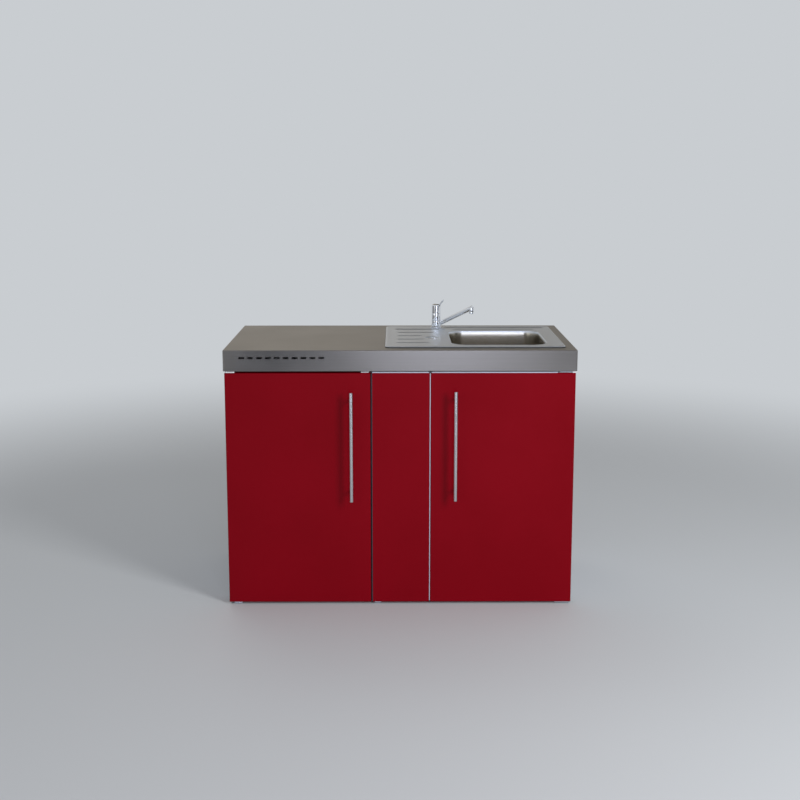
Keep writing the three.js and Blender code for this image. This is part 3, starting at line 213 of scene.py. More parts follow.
def dress(name, data, material, body, stands_for=(), sheet=0.0, crease=35):
    """Makes a mesh an object with its thickness, shading, material and body. The thickness is
    applied before the shading, so that the sheet's cut edges stay sharp, as all edges of more than
    crease degrees do."""
    made = bpy.data.objects.new(name, data)
    bpy.context.scene.collection.objects.link(made)
    if sheet:
        wall = made.modifiers.new("sheet", "SOLIDIFY")
        wall.thickness = sheet / 1000
        wall.offset = -1
        thickened = made.evaluated_get(bpy.context.evaluated_depsgraph_get())
        data = bpy.data.meshes.new_from_object(thickened)
        made.modifiers.clear()
        made.data = data
    data.polygons.foreach_set("use_smooth", np.ones(len(data.polygons), dtype=bool))
    data.set_sharp_from_angle(angle=math.radians(crease))
    data.materials.clear()
    data.materials.append(material)
    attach(made, body)
    if stands_for:
        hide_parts(*stands_for)
    return made


def span(name):
    """The lowest and highest corner of a CAD node in millimetres."""
    low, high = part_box(name)
    return np.array(low) * 1000, np.array(high) * 1000


# The streaks of a 240 grit brush are 0.1 mm wide, too fine to show, so they are drawn 1.6 mm wide
worktop_steel = brushed("brushed_stainless_sheet", ("86827e", "908c88"), (0.28, 0.36), "x", 1.6, 0.08)

worktop_low, worktop_high = span("worktop")
worktop_size = worktop_high - worktop_low
apron_foot, top_level = worktop_low[2], worktop_high[2]
sheet_steel, fold, side_corner = 1.5, 1.8, 3
slot_count, slot_pitch, slot_level = 10, 30, 874.0
slot_length, slot_radius = 21.0, 3.2
slot_left = -547 + slot_pitch * np.arange(slot_count)
slot_rows = slot_radius * np.array([-1, -0.87, -0.5, 0, 0.5, 0.87, 1])

# The front of each ring has a point at both ends of each slot. The first slot comes after three
# corners of six points, and the slots' rows come after the four at the apron's foot.
corner_steps, first_row = 5, 4
first_slot = 3 * (corner_steps + 1)
straight = worktop_size[0] - 2 * side_corner
marks = np.sort(np.concatenate([slot_left, slot_left + slot_length]))
marks = (marks + straight / 2) / straight
bend = np.radians(np.linspace(0, 90, 6))
profile = [(2, apron_foot), (0.6, apron_foot + 0.4), (0, apron_foot + 1.5), (0, apron_foot + 2.3)]
profile += [(0, slot_level + rise) for rise in slot_rows] + [(0, top_level - fold - 0.6)]
profile += [(fold * (1 - math.cos(a)), top_level - fold * (1 - math.sin(a))) for a in bend]
profile += [(4, top_level)]
skirt = stack("z", [(ring(*(worktop_size[:2] - 2 * inset), side_corner - inset, corner_steps,
                          ((), (), marks, ())), level) for inset, level in profile],
              (worktop_low + worktop_high)[:2] / 2)
for row, rise in enumerate(slot_rows, start=first_row):
    drawn_in = slot_radius - math.sqrt(max(slot_radius ** 2 - rise ** 2, 0))
    columns = first_slot + 2 * np.arange(slot_count)
    skirt[row, columns, 0] += drawn_in
    skirt[row, columns + 1, 0] -= drawn_in
# The sink's rim covers the cut-out
cut_out = np.clip(skirt[-1], (-39, -213, 0), (557, 263, top_level))
sheet_grid = np.concatenate([skirt, cut_out[None]])
punched = np.zeros((len(sheet_grid) - 1, sheet_grid.shape[1]), dtype=bool)
punched[first_row:first_row + len(slot_rows) - 1, first_slot:first_slot + 2 * slot_count:2] = True
piece("worktop_sheet", [sheet_grid], worktop_steel, "cabinet",
      ["worktop"], sheet=sheet_steel, holes=punched)


def layers(axis, low, high, steps, arc):
    """Rounded rectangles square to an axis, fitted in the box from low to high. Each step says how
    far its rectangle is drawn in, at what level it lies and its corner radius."""
    size, middle = np.array(high) - low, (np.array(high) + low) / 2
    others = [k for k in range(3) if k != "xyz".index(axis)]
    return stack(axis, [(ring(*(size[others] - 2 * inset), radius, arc), level)
                        for inset, level, radius in steps], middle[others])


def plate(axis, low, high, corner, edge):
    """A box with rounded corners round the axis and rounded edges at both ends: rounded rectangles
    that are drawn in by edge * (1 - sin a) at edge * (1 - cos a) from each end."""
    along = "xyz".index(axis)
    turn = np.linspace(0, math.pi / 2, 4)
    ends = [(edge * (1 - math.sin(a)), edge * (1 - math.cos(a))) for a in turn]
    levels = [(inset, low[along] + rise, corner - inset) for inset, rise in ends]
    levels += [(inset, high[along] - rise, corner - inset) for inset, rise in reversed(ends)]
    return capped(layers(axis, low, high, levels, 4))


# The front and back aprons turn in at the bottom, which stiffens them
return_width = 18
returns = []
for front, back in ((worktop_low[1] + 1.2, worktop_low[1] + return_width),
                    (worktop_high[1] - return_width, worktop_high[1] - 1.2)):
    returns.append(plate("z", (worktop_low[0] + 2, front, apron_foot),
                         (worktop_high[0] - 2, back, apron_foot + sheet_steel), 0.5, 0.3))
piece("worktop_returns", returns, worktop_steel, "cabinet")


def recast(name, material, body, edge):
    """A merged copy of a CAD node, with its flat faces joined and its edges rounded by edge mm.
    It stands for the node."""
    shape = bmesh.new()
    shape.from_mesh(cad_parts[name].data)
    bmesh.ops.remove_doubles(shape, verts=shape.verts, dist=1e-6)
    bmesh.ops.dissolve_limit(shape, angle_limit=math.radians(1), verts=shape.verts,
                             edges=shape.edges, delimit={"NORMAL"})
    data = bpy.data.meshes.new(name + "_finished")
    shape.to_mesh(data)
    shape.free()
    made = dress(name + "_finished", data, material, body, [name], crease=30)
    if edge:
        rounding = made.modifiers.new("edges", "BEVEL")
        rounding.width = edge / 1000
        rounding.segments = 2
        rounding.limit_method = "ANGLE"
        rounding.angle_limit = math.radians(40)
        rounding.harden_normals = True
    return made


recast("worktop_rib", worktop_steel, "cabinet", 0.6)

# ---------------------------------------- sink
# The inset sink is deep drawn from one 1.2 mm stainless sheet: a bowl on the right, and on the
# left a drainer with five pressed channels and a round dish for the overflow. Its rim is rolled
# over and lies on the worktop. The deck has a soft satin finish with no direction.

sink_steel, tree, shader, where = finish("satin_stainless_pressing", "b8b2a6", 0.3, 1.0)
# Satin grain is under 0.2 mm, so it is drawn 1 mm wide in the gloss, and the pressing leaves slow
# waves in the sheet
grain = node(tree, "TexNoise", {"Vector": where, "Scale": 900.0, "Detail": 2.0})
waves = node(tree, "TexNoise", {"Vector": where, "Scale": 14.0, "Detail": 2.0})
gloss = node(tree, "MapRange", {"Value": grain.outputs[0], "To Min": 0.19, "To Max": 0.29})
# The bowl is drawn against a polished die, so it is glossier than the satin deck. Its colour is painted
# darker and warmer than the deck's, a painted shade and warm reflection in the bowl, and the deck's
# colour is painted lighter and bluer.
height = node(tree, "SeparateXYZ", {0: where}).outputs["Z"]
deck_share = node(tree, "MapRange", {"Value": height, "From Min": 0.894, "From Max": 0.902})
gloss = node(tree, "Math", {0: deck_share.outputs[0], 1: 0.16, 2: gloss.outputs[0]},
             operation="MULTIPLY_ADD")
# Painted shade and reflection: below the deck the colour turns darker and warmer, above it lighter and
# bluer
bowl_painted_shade = node(tree, "Mix", {0: deck_share.outputs[0], 6: srgb("b8b2a6"), 7: srgb("e9eff7")},
             data_type="RGBA")
tree.links.new(bowl_painted_shade.outputs[2], shader.inputs["Base Color"])
tree.links.new(gloss.outputs[0], shader.inputs["Roughness"])
swell = node(tree, "Bump", {"Height": waves.outputs[0], "Strength": 0.35, "Distance": 0.001})
fine = node(tree, "Bump", {"Height": grain.outputs[0], "Strength": 0.06, "Distance": 0.0001,
                           "Normal": swell.outputs[0]})
tree.links.new(fine.outputs[0], shader.inputs["Normal"])

sink_low, sink_high = span("sink")
sink_middle, sink_size = ((sink_low + sink_high) / 2)[:2], (sink_high - sink_low)[:2]
bowl_middle, bowl_size, bowl_radius = np.array([346, -18]), np.array([332, 330]), 54
deck, bowl_floor, rim_corner = 904.0, 754.0, 18
# The bowl's wall leans in by the draft, and falls in more steeply just below its lip, by the flare
draft, floor_radius, lip_radius = 4, 30, 3
flare, flare_depth = 1.9, 6
waste_radius = 46
overflow_at, dish_radius, dish_slope, dish_depth = (117, -17), 27, 8, 8
# Each channel's y, its ends in x, its width and its depth: five in the drainer, and two shallow
# steps behind the bowl that stiffen the rear edge
channels = [(-133, -5, 98, 18, 3.2), (-51, -3, 80, 18, 3.0), (31, -1, 74, 18, 3.0),
            (113, -1, 118, 18, 3.4), (195, -5, 158, 28, 6.8),
            (237, 186, 538, 28, 6.6), (188, 206, 498, 16, 3.0)]
# Steps round each corner, and points between them on the back, left, front and right. Most are on
# the left, along the drainer.
corners = (14, 40, 40, 14)
between = [np.linspace(0, 1, count + 2)[1:-1] for count in (40, 160, 40, 16)]


def bowl_ring(inset):
    """The bowl's outline, drawn in by inset."""
    return bowl_middle + ring(*(bowl_size - 2 * inset), bowl_radius - inset, corners, between)


def rim_ring(inset):
    """The sink's outline, drawn in by inset."""
    return sink_middle + ring(*(sink_size - 2 * inset), rim_corner - inset, corners, between)


def sunk(x, y):
    """The depth below the deck. A channel is a cosine valley about a line from one x to the other,
    and the overflow's dish falls along the smooth step t * t * (3 - 2 * t)."""
    depth = np.zeros_like(x)
    for level, start, end, width, fall in channels:
        beyond = np.maximum(np.maximum(start - x, x - end), 0)
        near = np.clip(np.hypot(beyond, y - level) / (width / 2), 0, 1)
        depth += fall / 2 * (1 + np.cos(math.pi * near))
    t = np.clip((dish_radius - np.hypot(x - overflow_at[0], y - overflow_at[1])) / dish_slope, 0, 1)
    return depth + dish_depth * t * t * (3 - 2 * t)


# The rolled rim, the deck from the rim to the bowl, the bowl's lip, its wall, and its floor
rim = [(1.0, 901.9), (0.3, 902.0), (0, 902.3), (0.3, 902.8), (1.1, 903.3), (2.3, 903.7), (3.8, 904.0),
       (7.0, 903.8)]
pressing = [(rim_ring(inset), level) for inset, level in rim]
outer, inner = rim_ring(8.5), bowl_ring(-lip_radius)
for t in np.linspace(0, 1, 84):
    # The deck lies up to 0.7 mm lower than the rim and the bowl's lip
    flat = outer + t * (inner - outer)
    dip = 0.7 * min(1, 12 * min(t + 0.02, 1 - t))
    pressing.append((flat, deck - dip - sunk(*flat.T)))
wall_top, wall_foot = deck - lip_radius, bowl_floor + floor_radius
for a in np.radians([72, 54, 36, 18, 0]):
    pressing.append((bowl_ring(lip_radius * (math.cos(a) - 1)), wall_top + lip_radius * math.sin(a)))
for t in (0.02, 0.05, 0.1, 0.15, 0.2, 0.3, 0.45, 0.7, 1):
    drop = t * (wall_top - wall_foot)
    drawn_in = draft * t + flare * (1 - math.exp(-drop / flare_depth))
    pressing.append((bowl_ring(drawn_in), wall_top - drop))
for a in np.radians(np.arange(10, 91, 10)):
    pressing.append((bowl_ring(drawn_in + floor_radius * (1 - math.cos(a))),
                     bowl_floor + floor_radius * (1 - math.sin(a))))
edge = pressing[-1][0]
arm = edge - bowl_middle
hole = bowl_middle + waste_radius * arm / np.linalg.norm(arm, axis=1)[:, None]
pressing += [(edge + t * (hole - edge), bowl_floor) for t in (0.1, 0.3, 0.5, 0.7, 0.9, 1)]
piece("sink_pressing", [stack("z", pressing)], sink_steel, "cabinet", ["sink"], sheet=1.2)

# The rim lies on a dark foam strip that paints the shade under the rolled rim, a thin dark line around
# it. Foam is matt, with fine pits of about 1 mm.
rim_shade_foam, tree, shader, where = finish("dark_foam_painted_shade", "2b2a29", 0.85)
cells = node(tree, "TexVoronoi", {"Vector": where, "Scale": 900.0})
pores = node(tree, "Bump", {"Height": cells.outputs["Distance"], "Strength": 0.3, "Distance": 0.0003})
tree.links.new(pores.outputs[0], shader.inputs["Normal"])
rim_shade_rows = [(-0.6, 900.1), (-0.8, 900.8), (-0.1, 901.9), (9, 901.9), (9, 900.1), (-0.6, 900.1)]
piece("rim_shade_strip", [stack("z", [(rim_ring(inset), level) for inset, level in rim_shade_rows])],
      rim_shade_foam, "cabinet")


def eased(line, radius, steps=4):
    """Rounds each corner of a polyline: a quadratic curve from radius before the corner to radius
    after it, and no more than 0.45 of either side."""
    line = np.array(line, dtype=float)
    points = [line[0]]
    for before, corner, after in zip(line, line[1:], line[2:]):
        near, far = before - corner, after - corner
        near *= min(radius, 0.45 * np.linalg.norm(near)) / max(np.linalg.norm(near), 1e-9)
        far *= min(radius, 0.45 * np.linalg.norm(far)) / max(np.linalg.norm(far), 1e-9)
        for t in np.linspace(0, 1, steps + 1):
            points.append(corner + (1 - t) ** 2 * near + t ** 2 * far)
    return points + [line[-1]]


def turned(outline, centre, axis="z", points=64, closed=True):
    """A turned shape: each radius and height of the outline becomes a circle about the axis, whose
    points are (radius cos a, radius sin a). An outline that starts off the axis is closed."""
    turn = np.linspace(0, 2 * math.pi, points, endpoint=False)
    circle = np.column_stack([np.cos(turn), np.sin(turn)])
    outline = list(outline)
    if closed and outline[0][0] > 0:
        outline.append(outline[0])
    return stack(axis, [(circle * radius, level) for radius, level in outline], centre)


# The overflow has a round cover with slots, and the waste a flange and a strainer basket
chrome, tree, shader, where = finish("bright_chrome_plate", "f0f1f4", 0.05, 1.0)
# Plating is mirror bright; polishing marks and water spots only mottle its gloss a little
spots = node(tree, "TexNoise", {"Vector": where, "Scale": 160.0, "Detail": 3.0})
vary(tree, shader, spots.outputs[0], 0.4, 0.8, (0.03, 0.08))

cover = turned([(0, 900.3), (4, 900.3), (6, 900.3), (9, 900.3), (11, 900.3), (14.5, 900.2),
                (17.5, 899.9), (18.7, 898.9)], overflow_at, points=72)
# Two rows of eight slots
slots = np.zeros((len(cover) - 1, 72), dtype=bool)
for row in (2, 4):
    slots[row] = np.arange(72) % 9 < 6
piece("overflow_rose", [cover], chrome, "cabinet", ["overflow_cover"], sheet=0.8, holes=slots)

piece("waste_rim", [turned(eased([
    (20, 718.3), (44.5, 718.3), (44.5, 754.3), (56, 754.3), (56, 755.2), (53, 756.3), (45, 756.3),
    (43.3, 754.6), (43.3, 719.5), (20, 719.5)], 1.2), bowl_middle, points=96)],
    chrome, "cabinet", ["waste_flange"])

basket = turned([(3.4, 720.6), (6, 720.6), (10, 720.5), (13.5, 720.4), (17, 720.3), (21, 720.2),
                 (24.5, 720.1), (28.5, 720.0), (33, 719.9), (37, 720.2), (38.8, 721.5), (40, 731),
                 (41.2, 742), (42.4, 751.2), (41.4, 752.2), (40.8, 751.4)],
                bowl_middle, points=96, closed=False)
# Four rows of holes, with more and narrower ones further out
pattern = np.zeros((len(basket) - 1, 96), dtype=bool)
for row, period in ((2, 16), (4, 8), (6, 6), (8, 4)):
    pattern[row] = np.arange(96) % period < period / 2
piece("basket_cup", [basket], chrome, "basket", ["strainer_basket"], sheet=0.9, holes=pattern)
piece("basket_knob", [turned(eased([
    (0, 719.8), (5, 719.8), (5, 722), (3, 723.5), (3, 756), (7.2, 758.5), (8, 761), (7.4, 765),
    (0, 765.7)], 1.0), bowl_middle)], chrome, "basket")

# ---------------------------------------- waste and trap
# Below the bowl a grey polypropylene housing clamps the steel waste, and a white bottle trap hangs
# on it by a union nut. A 40 mm pipe runs to the wall, and a thin one comes from the overflow.


def moulded(name, colour, roughness, coarse=1.2, bump=0.08, **sockets):
    """Moulded plastic: a fine spark-eroded grain, coarse mm wide so that it shows, in a light bump
    and in the gloss."""
    made, tree, shader, where = finish(name, colour, roughness, **sockets)
    grain = node(tree, "TexNoise", {"Vector": where, "Scale": 1000 / coarse, "Detail": 3.0})
    cloud = node(tree, "TexNoise", {"Vector": where, "Scale": 9.0, "Detail": 2.0})
    vary(tree, shader, cloud.outputs[0], 0.3, 0.7, (roughness - 0.02, roughness + 0.02))
    relief = node(tree, "Bump", {"Height": grain.outputs[0], "Strength": bump, "Distance": 0.0002})
    tree.links.new(relief.outputs[0], shader.inputs["Normal"])
    return made


grey_pp = moulded("moulded_grey_polypropylene", "8b8f94", 0.5)
white_pp = moulded("moulded_white_polypropylene", "e6e8ea", 0.42)
waste_bore = 21


def ribbed(outline, low, high, count, depth):
    """A shape turned about the waste's axis with upright grip ribs: between the levels low and high
    each radius outside the bore shrinks by depth * (1 - cos(count * a)) / 2."""
    turn = np.linspace(0, 2 * math.pi, 120, endpoint=False)
    grid = turned(outline, (0, 0), points=len(turn))
    reach = np.linalg.norm(grid[..., :2], axis=-1)
    gripped = (grid[..., 2] > low) & (grid[..., 2] < high) & (reach > waste_bore + 1)
    shrink = np.where(gripped, depth * (1 - np.cos(count * turn)) / 2, 0)
    grid[..., :2] *= (1 - shrink / np.maximum(reach, 1))[..., None]
    return grid + [*bowl_middle, 0]


piece("waste_clamp", [ribbed(eased([
    (waste_bore, 668), (23.9, 668), (23.9, 690), (24.8, 691), (53, 705), (53, 715), (53, 748),
    (53, 752.5), (45, 752.5), (45, 718), (waste_bore, 710)], 1.5), 708, 745, 20, 1.5)],
    grey_pp, "cabinet", ["waste_housing"])
piece("trap_cup", [ribbed(eased([
    (0, 549.8), (32, 549.8), (35, 552.8), (35, 590), (35, 592), (33.5, 594), (33.5, 600), (35, 602),
    (35, 633.8), (27.9, 641.8), (27.9, 645), (27.9, 667.8), (waste_bore, 667.8),
    (waste_bore, 561.8), (0, 561.8)], 1.5), 553, 591, 24, 1.2)],
    white_pp, "cabinet", ["bottle_trap"])


def tube(path, radius, across, points=24):
    """A round tube along a path in a plane whose normal is across: about each point lies a circle
    in the normal and the cross product of the normal and the direction there."""
    path = np.array(path, dtype=float)
    way = np.gradient(path, axis=0)
    way /= np.linalg.norm(way, axis=1, keepdims=True)
    normal = np.broadcast_to(np.array(across, dtype=float), path.shape)
    side = np.cross(way, normal)
    turn = np.linspace(0, 2 * math.pi, points, endpoint=False)
    radius = np.broadcast_to(radius, len(path))[:, None, None]
    return path[:, None] + radius * (np.cos(turn)[:, None] * normal[:, None]
                                     + np.sin(turn)[:, None] * side[:, None])


def hollow_tube(path, radius, wall, across):
    """A tube with an open bore: the outer skin, back along the inner one, closed at both ends."""
    outer = tube(path, radius, across)
    inner = tube(path, radius - wall, across)[::-1]
    return np.concatenate([outer, inner, outer[:1]])


pipe_start, pipe_end, pipe_at = 17.3, 317.0, (bowl_middle[0], 610.8)
pipe = turned([(17, pipe_start), (20, pipe_start), (20, pipe_end), (17, pipe_end)], pipe_at, "y", 48)
nut = turned(eased([(20, 17.4), (24.5, 17.4), (26, 20), (26, 34), (24, 37), (20, 37)], 0.8),
             pipe_at, "y", 48)
piece("wall_pipe", [pipe, nut], white_pp, "cabinet", ["drain_pipe"])
hose_x, hose_y = overflow_at
hose_top, hose_level, hose_end, hose_bend = 896.4, 730.8, 292.7, 22
hose_path = [(hose_x, hose_y, hose_top)]
hose_path += [(hose_x + hose_bend * (1 - math.cos(a)), hose_y, hose_level + hose_bend * (1 - math.sin(a)))
              for a in np.radians(np.linspace(0, 90, 12))]
hose_path += [(hose_end, hose_y, hose_level)]
piece("overflow_hose", [hollow_tube(hose_path, 10, 1.5, (0, 1, 0))], white_pp, "cabinet",
      ["overflow_pipe"])

# ---------------------------------------- mixer tap
# The single-lever mixer is chrome-plated brass. A collar with a straight rising spout swivels
# between the foot ring and the body, and a pin lever stands in the slotted cap on top.

tap_at = np.array([139.0, 239.0])
swing = math.radians(-45)


def aimed(grid, tilt=0.0, start=(0, 0)):
    """Tilts a grid about Y through 0, 0, 0, moves it to start, an x and a z, turns it to the
    spout's side and moves it to the tap."""
    x = grid[..., 0] * math.cos(tilt) + grid[..., 2] * math.sin(tilt) + start[0]
    z = grid[..., 2] * math.cos(tilt) - grid[..., 0] * math.sin(tilt) + start[1]
    return np.stack([tap_at[0] + x * math.cos(swing) - grid[..., 1] * math.sin(swing),
                     tap_at[1] + x * math.sin(swing) + grid[..., 1] * math.cos(swing), z], axis=-1)


piece("tap_foot", [turned(eased([(13, 904.3), (21, 904.3), (21, 906.3), (19, 908.2), (13, 908.2)],
                                0.8), tap_at)], chrome, "cabinet", ["tap_base_ring"])
piece("tap_column", [turned(eased([
    (0, 857.5), (12.5, 857.5), (12.5, 930.8), (17.5, 930.8), (17.5, 959.7), (0, 959.7)], 0.6),
    tap_at)], chrome, "cabinet", ["tap_body"])

# The spout rises 168 mm out and 76.5 mm up, to the outlet's axis a little before its end
spout_start, spout_run, spout_rise, outlet_at = (15.0, 919.8), 168.0, 76.5, (178, 0)
length = math.hypot(spout_run, spout_rise)
arm = turned(eased([(0, 0), (7.75, 0), (7.75, length), (0, length)], 1.2), (0, 0))
arm = aimed(arm, math.atan2(spout_run, spout_rise), spout_start)
outlet = aimed(turned(eased([(0, 981.1), (9.5, 981.1), (9.5, 995.9), (0, 995.9)], 2.0), outlet_at))
collar = turned(eased([(13, 908.6), (17.5, 908.6), (17.5, 930.4), (13, 930.4)], 0.6), tap_at)
piece("tap_arm", [collar, arm, outlet], chrome, "spout", ["tap_spout"])
nozzle = turned(eased([(6.5, 972.8), (8.5, 972.8), (8.5, 980.7), (6.5, 980.7)], 0.5), outlet_at)
piece("tap_nozzle", [aimed(nozzle)], chrome, "spout", ["tap_aerator"])
recast("tap_cap", chrome, "lever_cap", 0)
lever_tilt, lever_root = math.radians(45), (0, 975)
pin = turned(eased([(0, -6), (3.5, -5), (6, 0), (4.6, 3.9), (2.75, 5.4), (2.75, 49), (2.4, 52),
                    (0, 53)], 1.2), (0, 0), points=40)
piece("tap_pin", [aimed(pin, lever_tilt, lever_root)], chrome, "lever", ["tap_lever"])

zinc, tree, shader, where = finish("zinc_plated_steel", "c3c6ca", 0.4, 1.0)
# Bright zinc has a crystal bloom a few millimetres wide, which varies its gloss
bloom = node(tree, "TexVoronoi", {"Vector": where, "Scale": 260.0})
vary(tree, shader, bloom.outputs["Distance"], 0, 1, (0.3, 0.5))
recast("tap_nut", zinc, "cabinet", 0.8)

# ---------------------------------------- sink cabinet
# The cabinet is folded from 1.5 mm steel sheet, powder-coated light grey: two sides, a tray as
# the floor, a back sheet, a front rail and a post, all screwed together. The end panel carries
# the worktop's other end.


def powder(name, colours, roughness, grain=1.4, bump=0.1, **sockets):
    """Powder coat: orange peel, grain mm wide, in a light bump, and a slow drift between two close
    colours where the coat is thicker."""
    made, tree, shader, where = finish(name, colours[0], roughness, **sockets)
    peel = node(tree, "TexNoise", {"Vector": where, "Scale": 1000 / grain, "Detail": 2.0})
    drift = node(tree, "TexNoise", {"Vector": where, "Scale": 3.0, "Detail": 3.0})
    vary(tree, shader, drift.outputs[0], 0.35, 0.65, (roughness - 0.03, roughness + 0.04), colours)
    relief = node(tree, "Bump", {"Height": peel.outputs[0], "Strength": bump, "Distance": 0.0002})
    tree.links.new(relief.outputs[0], shader.inputs["Normal"])
    return made


grey_coat = powder("light_grey_powder_coat", ("c3c7cf", "bcc0c9"), 0.42)
for name in ("cabinet_side_left", "cabinet_side_right", "base_panel", "back_panel", "front_rail",
             "centre_post", "end_panel"):
    recast(name, grey_coat, "cabinet", 0.4)
white_abs = moulded("moulded_white_abs", "e9ebec", 0.36)
recast("door_catch", white_abs, "cabinet", 1.0)


def screws(name, places, axis, body, radius=3.6, height=1.8):
    """Pan-head screws: each head is a dome, radius * cos a wide at height * sin a, with a cross
    recess that sinks points near the two lines through its middle. They all face up the axis."""
    dome = [(radius * math.cos(a), height * math.sin(a)) for a in np.radians([0, 25, 50, 70, 82])]
    head = capped(turned(dome, (0, 0), points=16, closed=False))
    cross = np.minimum(abs(head[..., 0]), abs(head[..., 1])) < 0.5
    near = np.hypot(head[..., 0], head[..., 1]) < 0.6 * radius
    head[..., 2] -= np.where(cross & near & (head[..., 2] > 0.3 * height), 0.6 * height, 0)
    head = head[..., column_order[axis]]
    return piece(name, [head + place for place in places], zinc, body)


# The screws go in the folds at the back of the sides and of the end panel
back_face = span("cabinet_side_left")[1][1]
back_edge = [(x, back_face, z) for x in (-87, 586) for z in np.linspace(60, 800, 6)]
screws("back_screws", back_edge, "y", "cabinet")
screws("end_panel_screws", [(-586.5, back_face, z) for z in (60, 300, 560, 840)], "y", "cabinet")

# ---------------------------------------- feet
# Six white nylon feet on threaded stems level the cabinet and the front of the fridge. They are
# turned by hand, by the ribs round the pad.

nylon = moulded("moulded_white_nylon", "e2e4e6", 0.45)
feet = [f"cabinet_foot_{end}_{side}" for end in ("front", "back") for side in ("left", "right")]
half_pitch, turn = 0.75, np.linspace(0, 2 * math.pi, 60, endpoint=False)
for body in feet + ["fridge_foot_left", "fridge_foot_right"]:
    low, high = span(body)
    stem_top = high[2]
    threads = [(5 - 0.35 * (k % 2), 8 + k * half_pitch) for k in range(int((stem_top - 9) / half_pitch))]
    outline = eased([(0, 0), (15, 0), (15, 4.5), (7, 7), (5, 7.2)], 0.8) + threads
    foot = turned(outline + [(4.6, stem_top), (0, stem_top)], (0, 0), points=len(turn))
    reach = np.hypot(foot[..., 0], foot[..., 1])
    knurl = np.where((reach > 13) & (foot[..., 2] > 0.3), 1 - 0.05 * (np.cos(20 * turn) < 0), 1)
    foot[..., :2] *= knurl[..., None]
    foot += [*((low + high) / 2)[:2], 0]
    piece(body + "_nylon", [foot], nylon, body, [body])

# ---------------------------------------- fronts
# The fronts are pans of 1.2 mm steel, folded on all four sides and powder-coated dark red. The
# fridge door is 48 mm deep, the sink door 20 mm, and the panel between them is fixed.

# The coat is nearly matt, so it shows a deep even red with hardly a sheen
ruby_coat = powder("ruby_red_powder_coat", ("7d0010", "78000e"), 0.48, 1.3, 0.06,
                   Specular_IOR_Level=0.08)
front_sheet, front_bend = 1.2, 2.0


def filled(grid):
    """The rings, and after them one drawn in to the last one's middle, which closes that end."""
    return np.concatenate([grid, np.broadcast_to(grid[-1].mean(axis=0), grid[-1:].shape)])


def pan(low, high):
    """A pan that is open to the back: rounded rectangles from the open side to the front, where
    they draw in by bend * (1 - cos a) along a quarter circle and end in the middle of the face."""
    rows = [(0, high[1], front_bend)]
    for a in np.linspace(0, math.pi / 2, 6):
        inset = front_bend * (1 - math.cos(a))
        rows.append((inset, low[1] + front_bend * (1 - math.sin(a)), front_bend - inset))
    rows.append((front_bend + 1, low[1], 0))
    return filled(layers("y", low, high, rows, 5))


for name, body in (("fridge_door_skin", "fridge_door"), ("centre_panel", "cabinet"),
                   ("sink_door_skin", "sink_door")):
    piece(name + "_folded", [pan(*span(name))], ruby_coat, body, [name],
          sheet=front_sheet)

# The sink door's inner pan has a pressed field that stiffens it
low, high = span("sink_door_inner")
inner_rows = [(0, low[1])] + [(inset, high[1] - fall) for inset, fall in (
    (0, 2), (0.6, 0.6), (2, 0), (24, 0), (27, 0.8), (31, 3.2), (34, 4))]
inner = layers("y", low, high, [(inset, level, max(2, inset - 16)) for inset, level in inner_rows], 6)
support = 0.99 * inner[-1:] + 0.01 * inner[-1].mean(axis=0)
piece("sink_door_back", [filled(np.concatenate([inner, support]))], grey_coat, "sink_door",
      ["sink_door_inner"], sheet=front_sheet)

# The doors shut against white rubber bumpers, soft and dull
bumper_tpe = moulded("white_thermoplastic_rubber", "eef0f3", 0.55)
for name, body in (("fridge_door_bumper", "fridge_door"), ("sink_door_bumper", "sink_door")):
    piece(name + "_pad", [plate("z", *span(name), 2.0, 1.2)], bumper_tpe, body, [name])

# Pale lips of soft plastic are pushed on the top edges of the panel and the sink door, up to the
# bumper, and one closes the gap between them
lip_pvc = moulded("pale_grey_soft_pvc", "b6bccb", 0.45)
for name, body in (("centre_panel", "cabinet"), ("sink_door_skin", "sink_door")):
    low, high = span(name)
    piece(name + "_lip", [plate("z", (low[0] + 2, low[1] + 0.8, high[2]),
                                (min(high[0] - 2, 536), high[1] - 1, high[2] + 4.4), 1.5, 1.2)],
          lip_pvc, body)
low, high = span("centre_panel")
piece("gap_lip", [plate("x", (high[0] + 0.3, low[1] + 1.2, low[2] + 4),
                        (high[0] + 3.2, high[1] - 3, high[2] - 1), 1.2, 0.8)],
      lip_pvc, "cabinet")

# A black rubber lip on the panel's left edge paints the shade in the gap to the fridge door, and a grey
# edging covers the fold behind it
gap_shade_rubber = moulded("black_rubber_gap_shade", "101113", 0.7, 1.5, 0.06)
edging_pvc = moulded("slate_grey_pvc_edging", "343f4c", 0.4)
piece("fridge_gap_shade_lip", [plate("x", (low[0] - 3.4, low[1] + 3, low[2] + 3),
                               (low[0] + 0.2, low[1] + 17, high[2] - 2), 1.2, 0.8)],
      gap_shade_rubber, "cabinet")
piece("panel_edging", [plate("x", (low[0] + 0.2, low[1] - 0.6, low[2] + 1),
                             (low[0] + 2.2, low[1] + 6, high[2] - 1), 1.0, 0.8)],
      edging_pvc, "cabinet")

# ---------------------------------------- handles
# Each handle is a 12 mm stainless bar, brushed lengthways, on two 10 mm posts that are screwed
# through the door. The bar's ends are turned flat with a small chamfer.

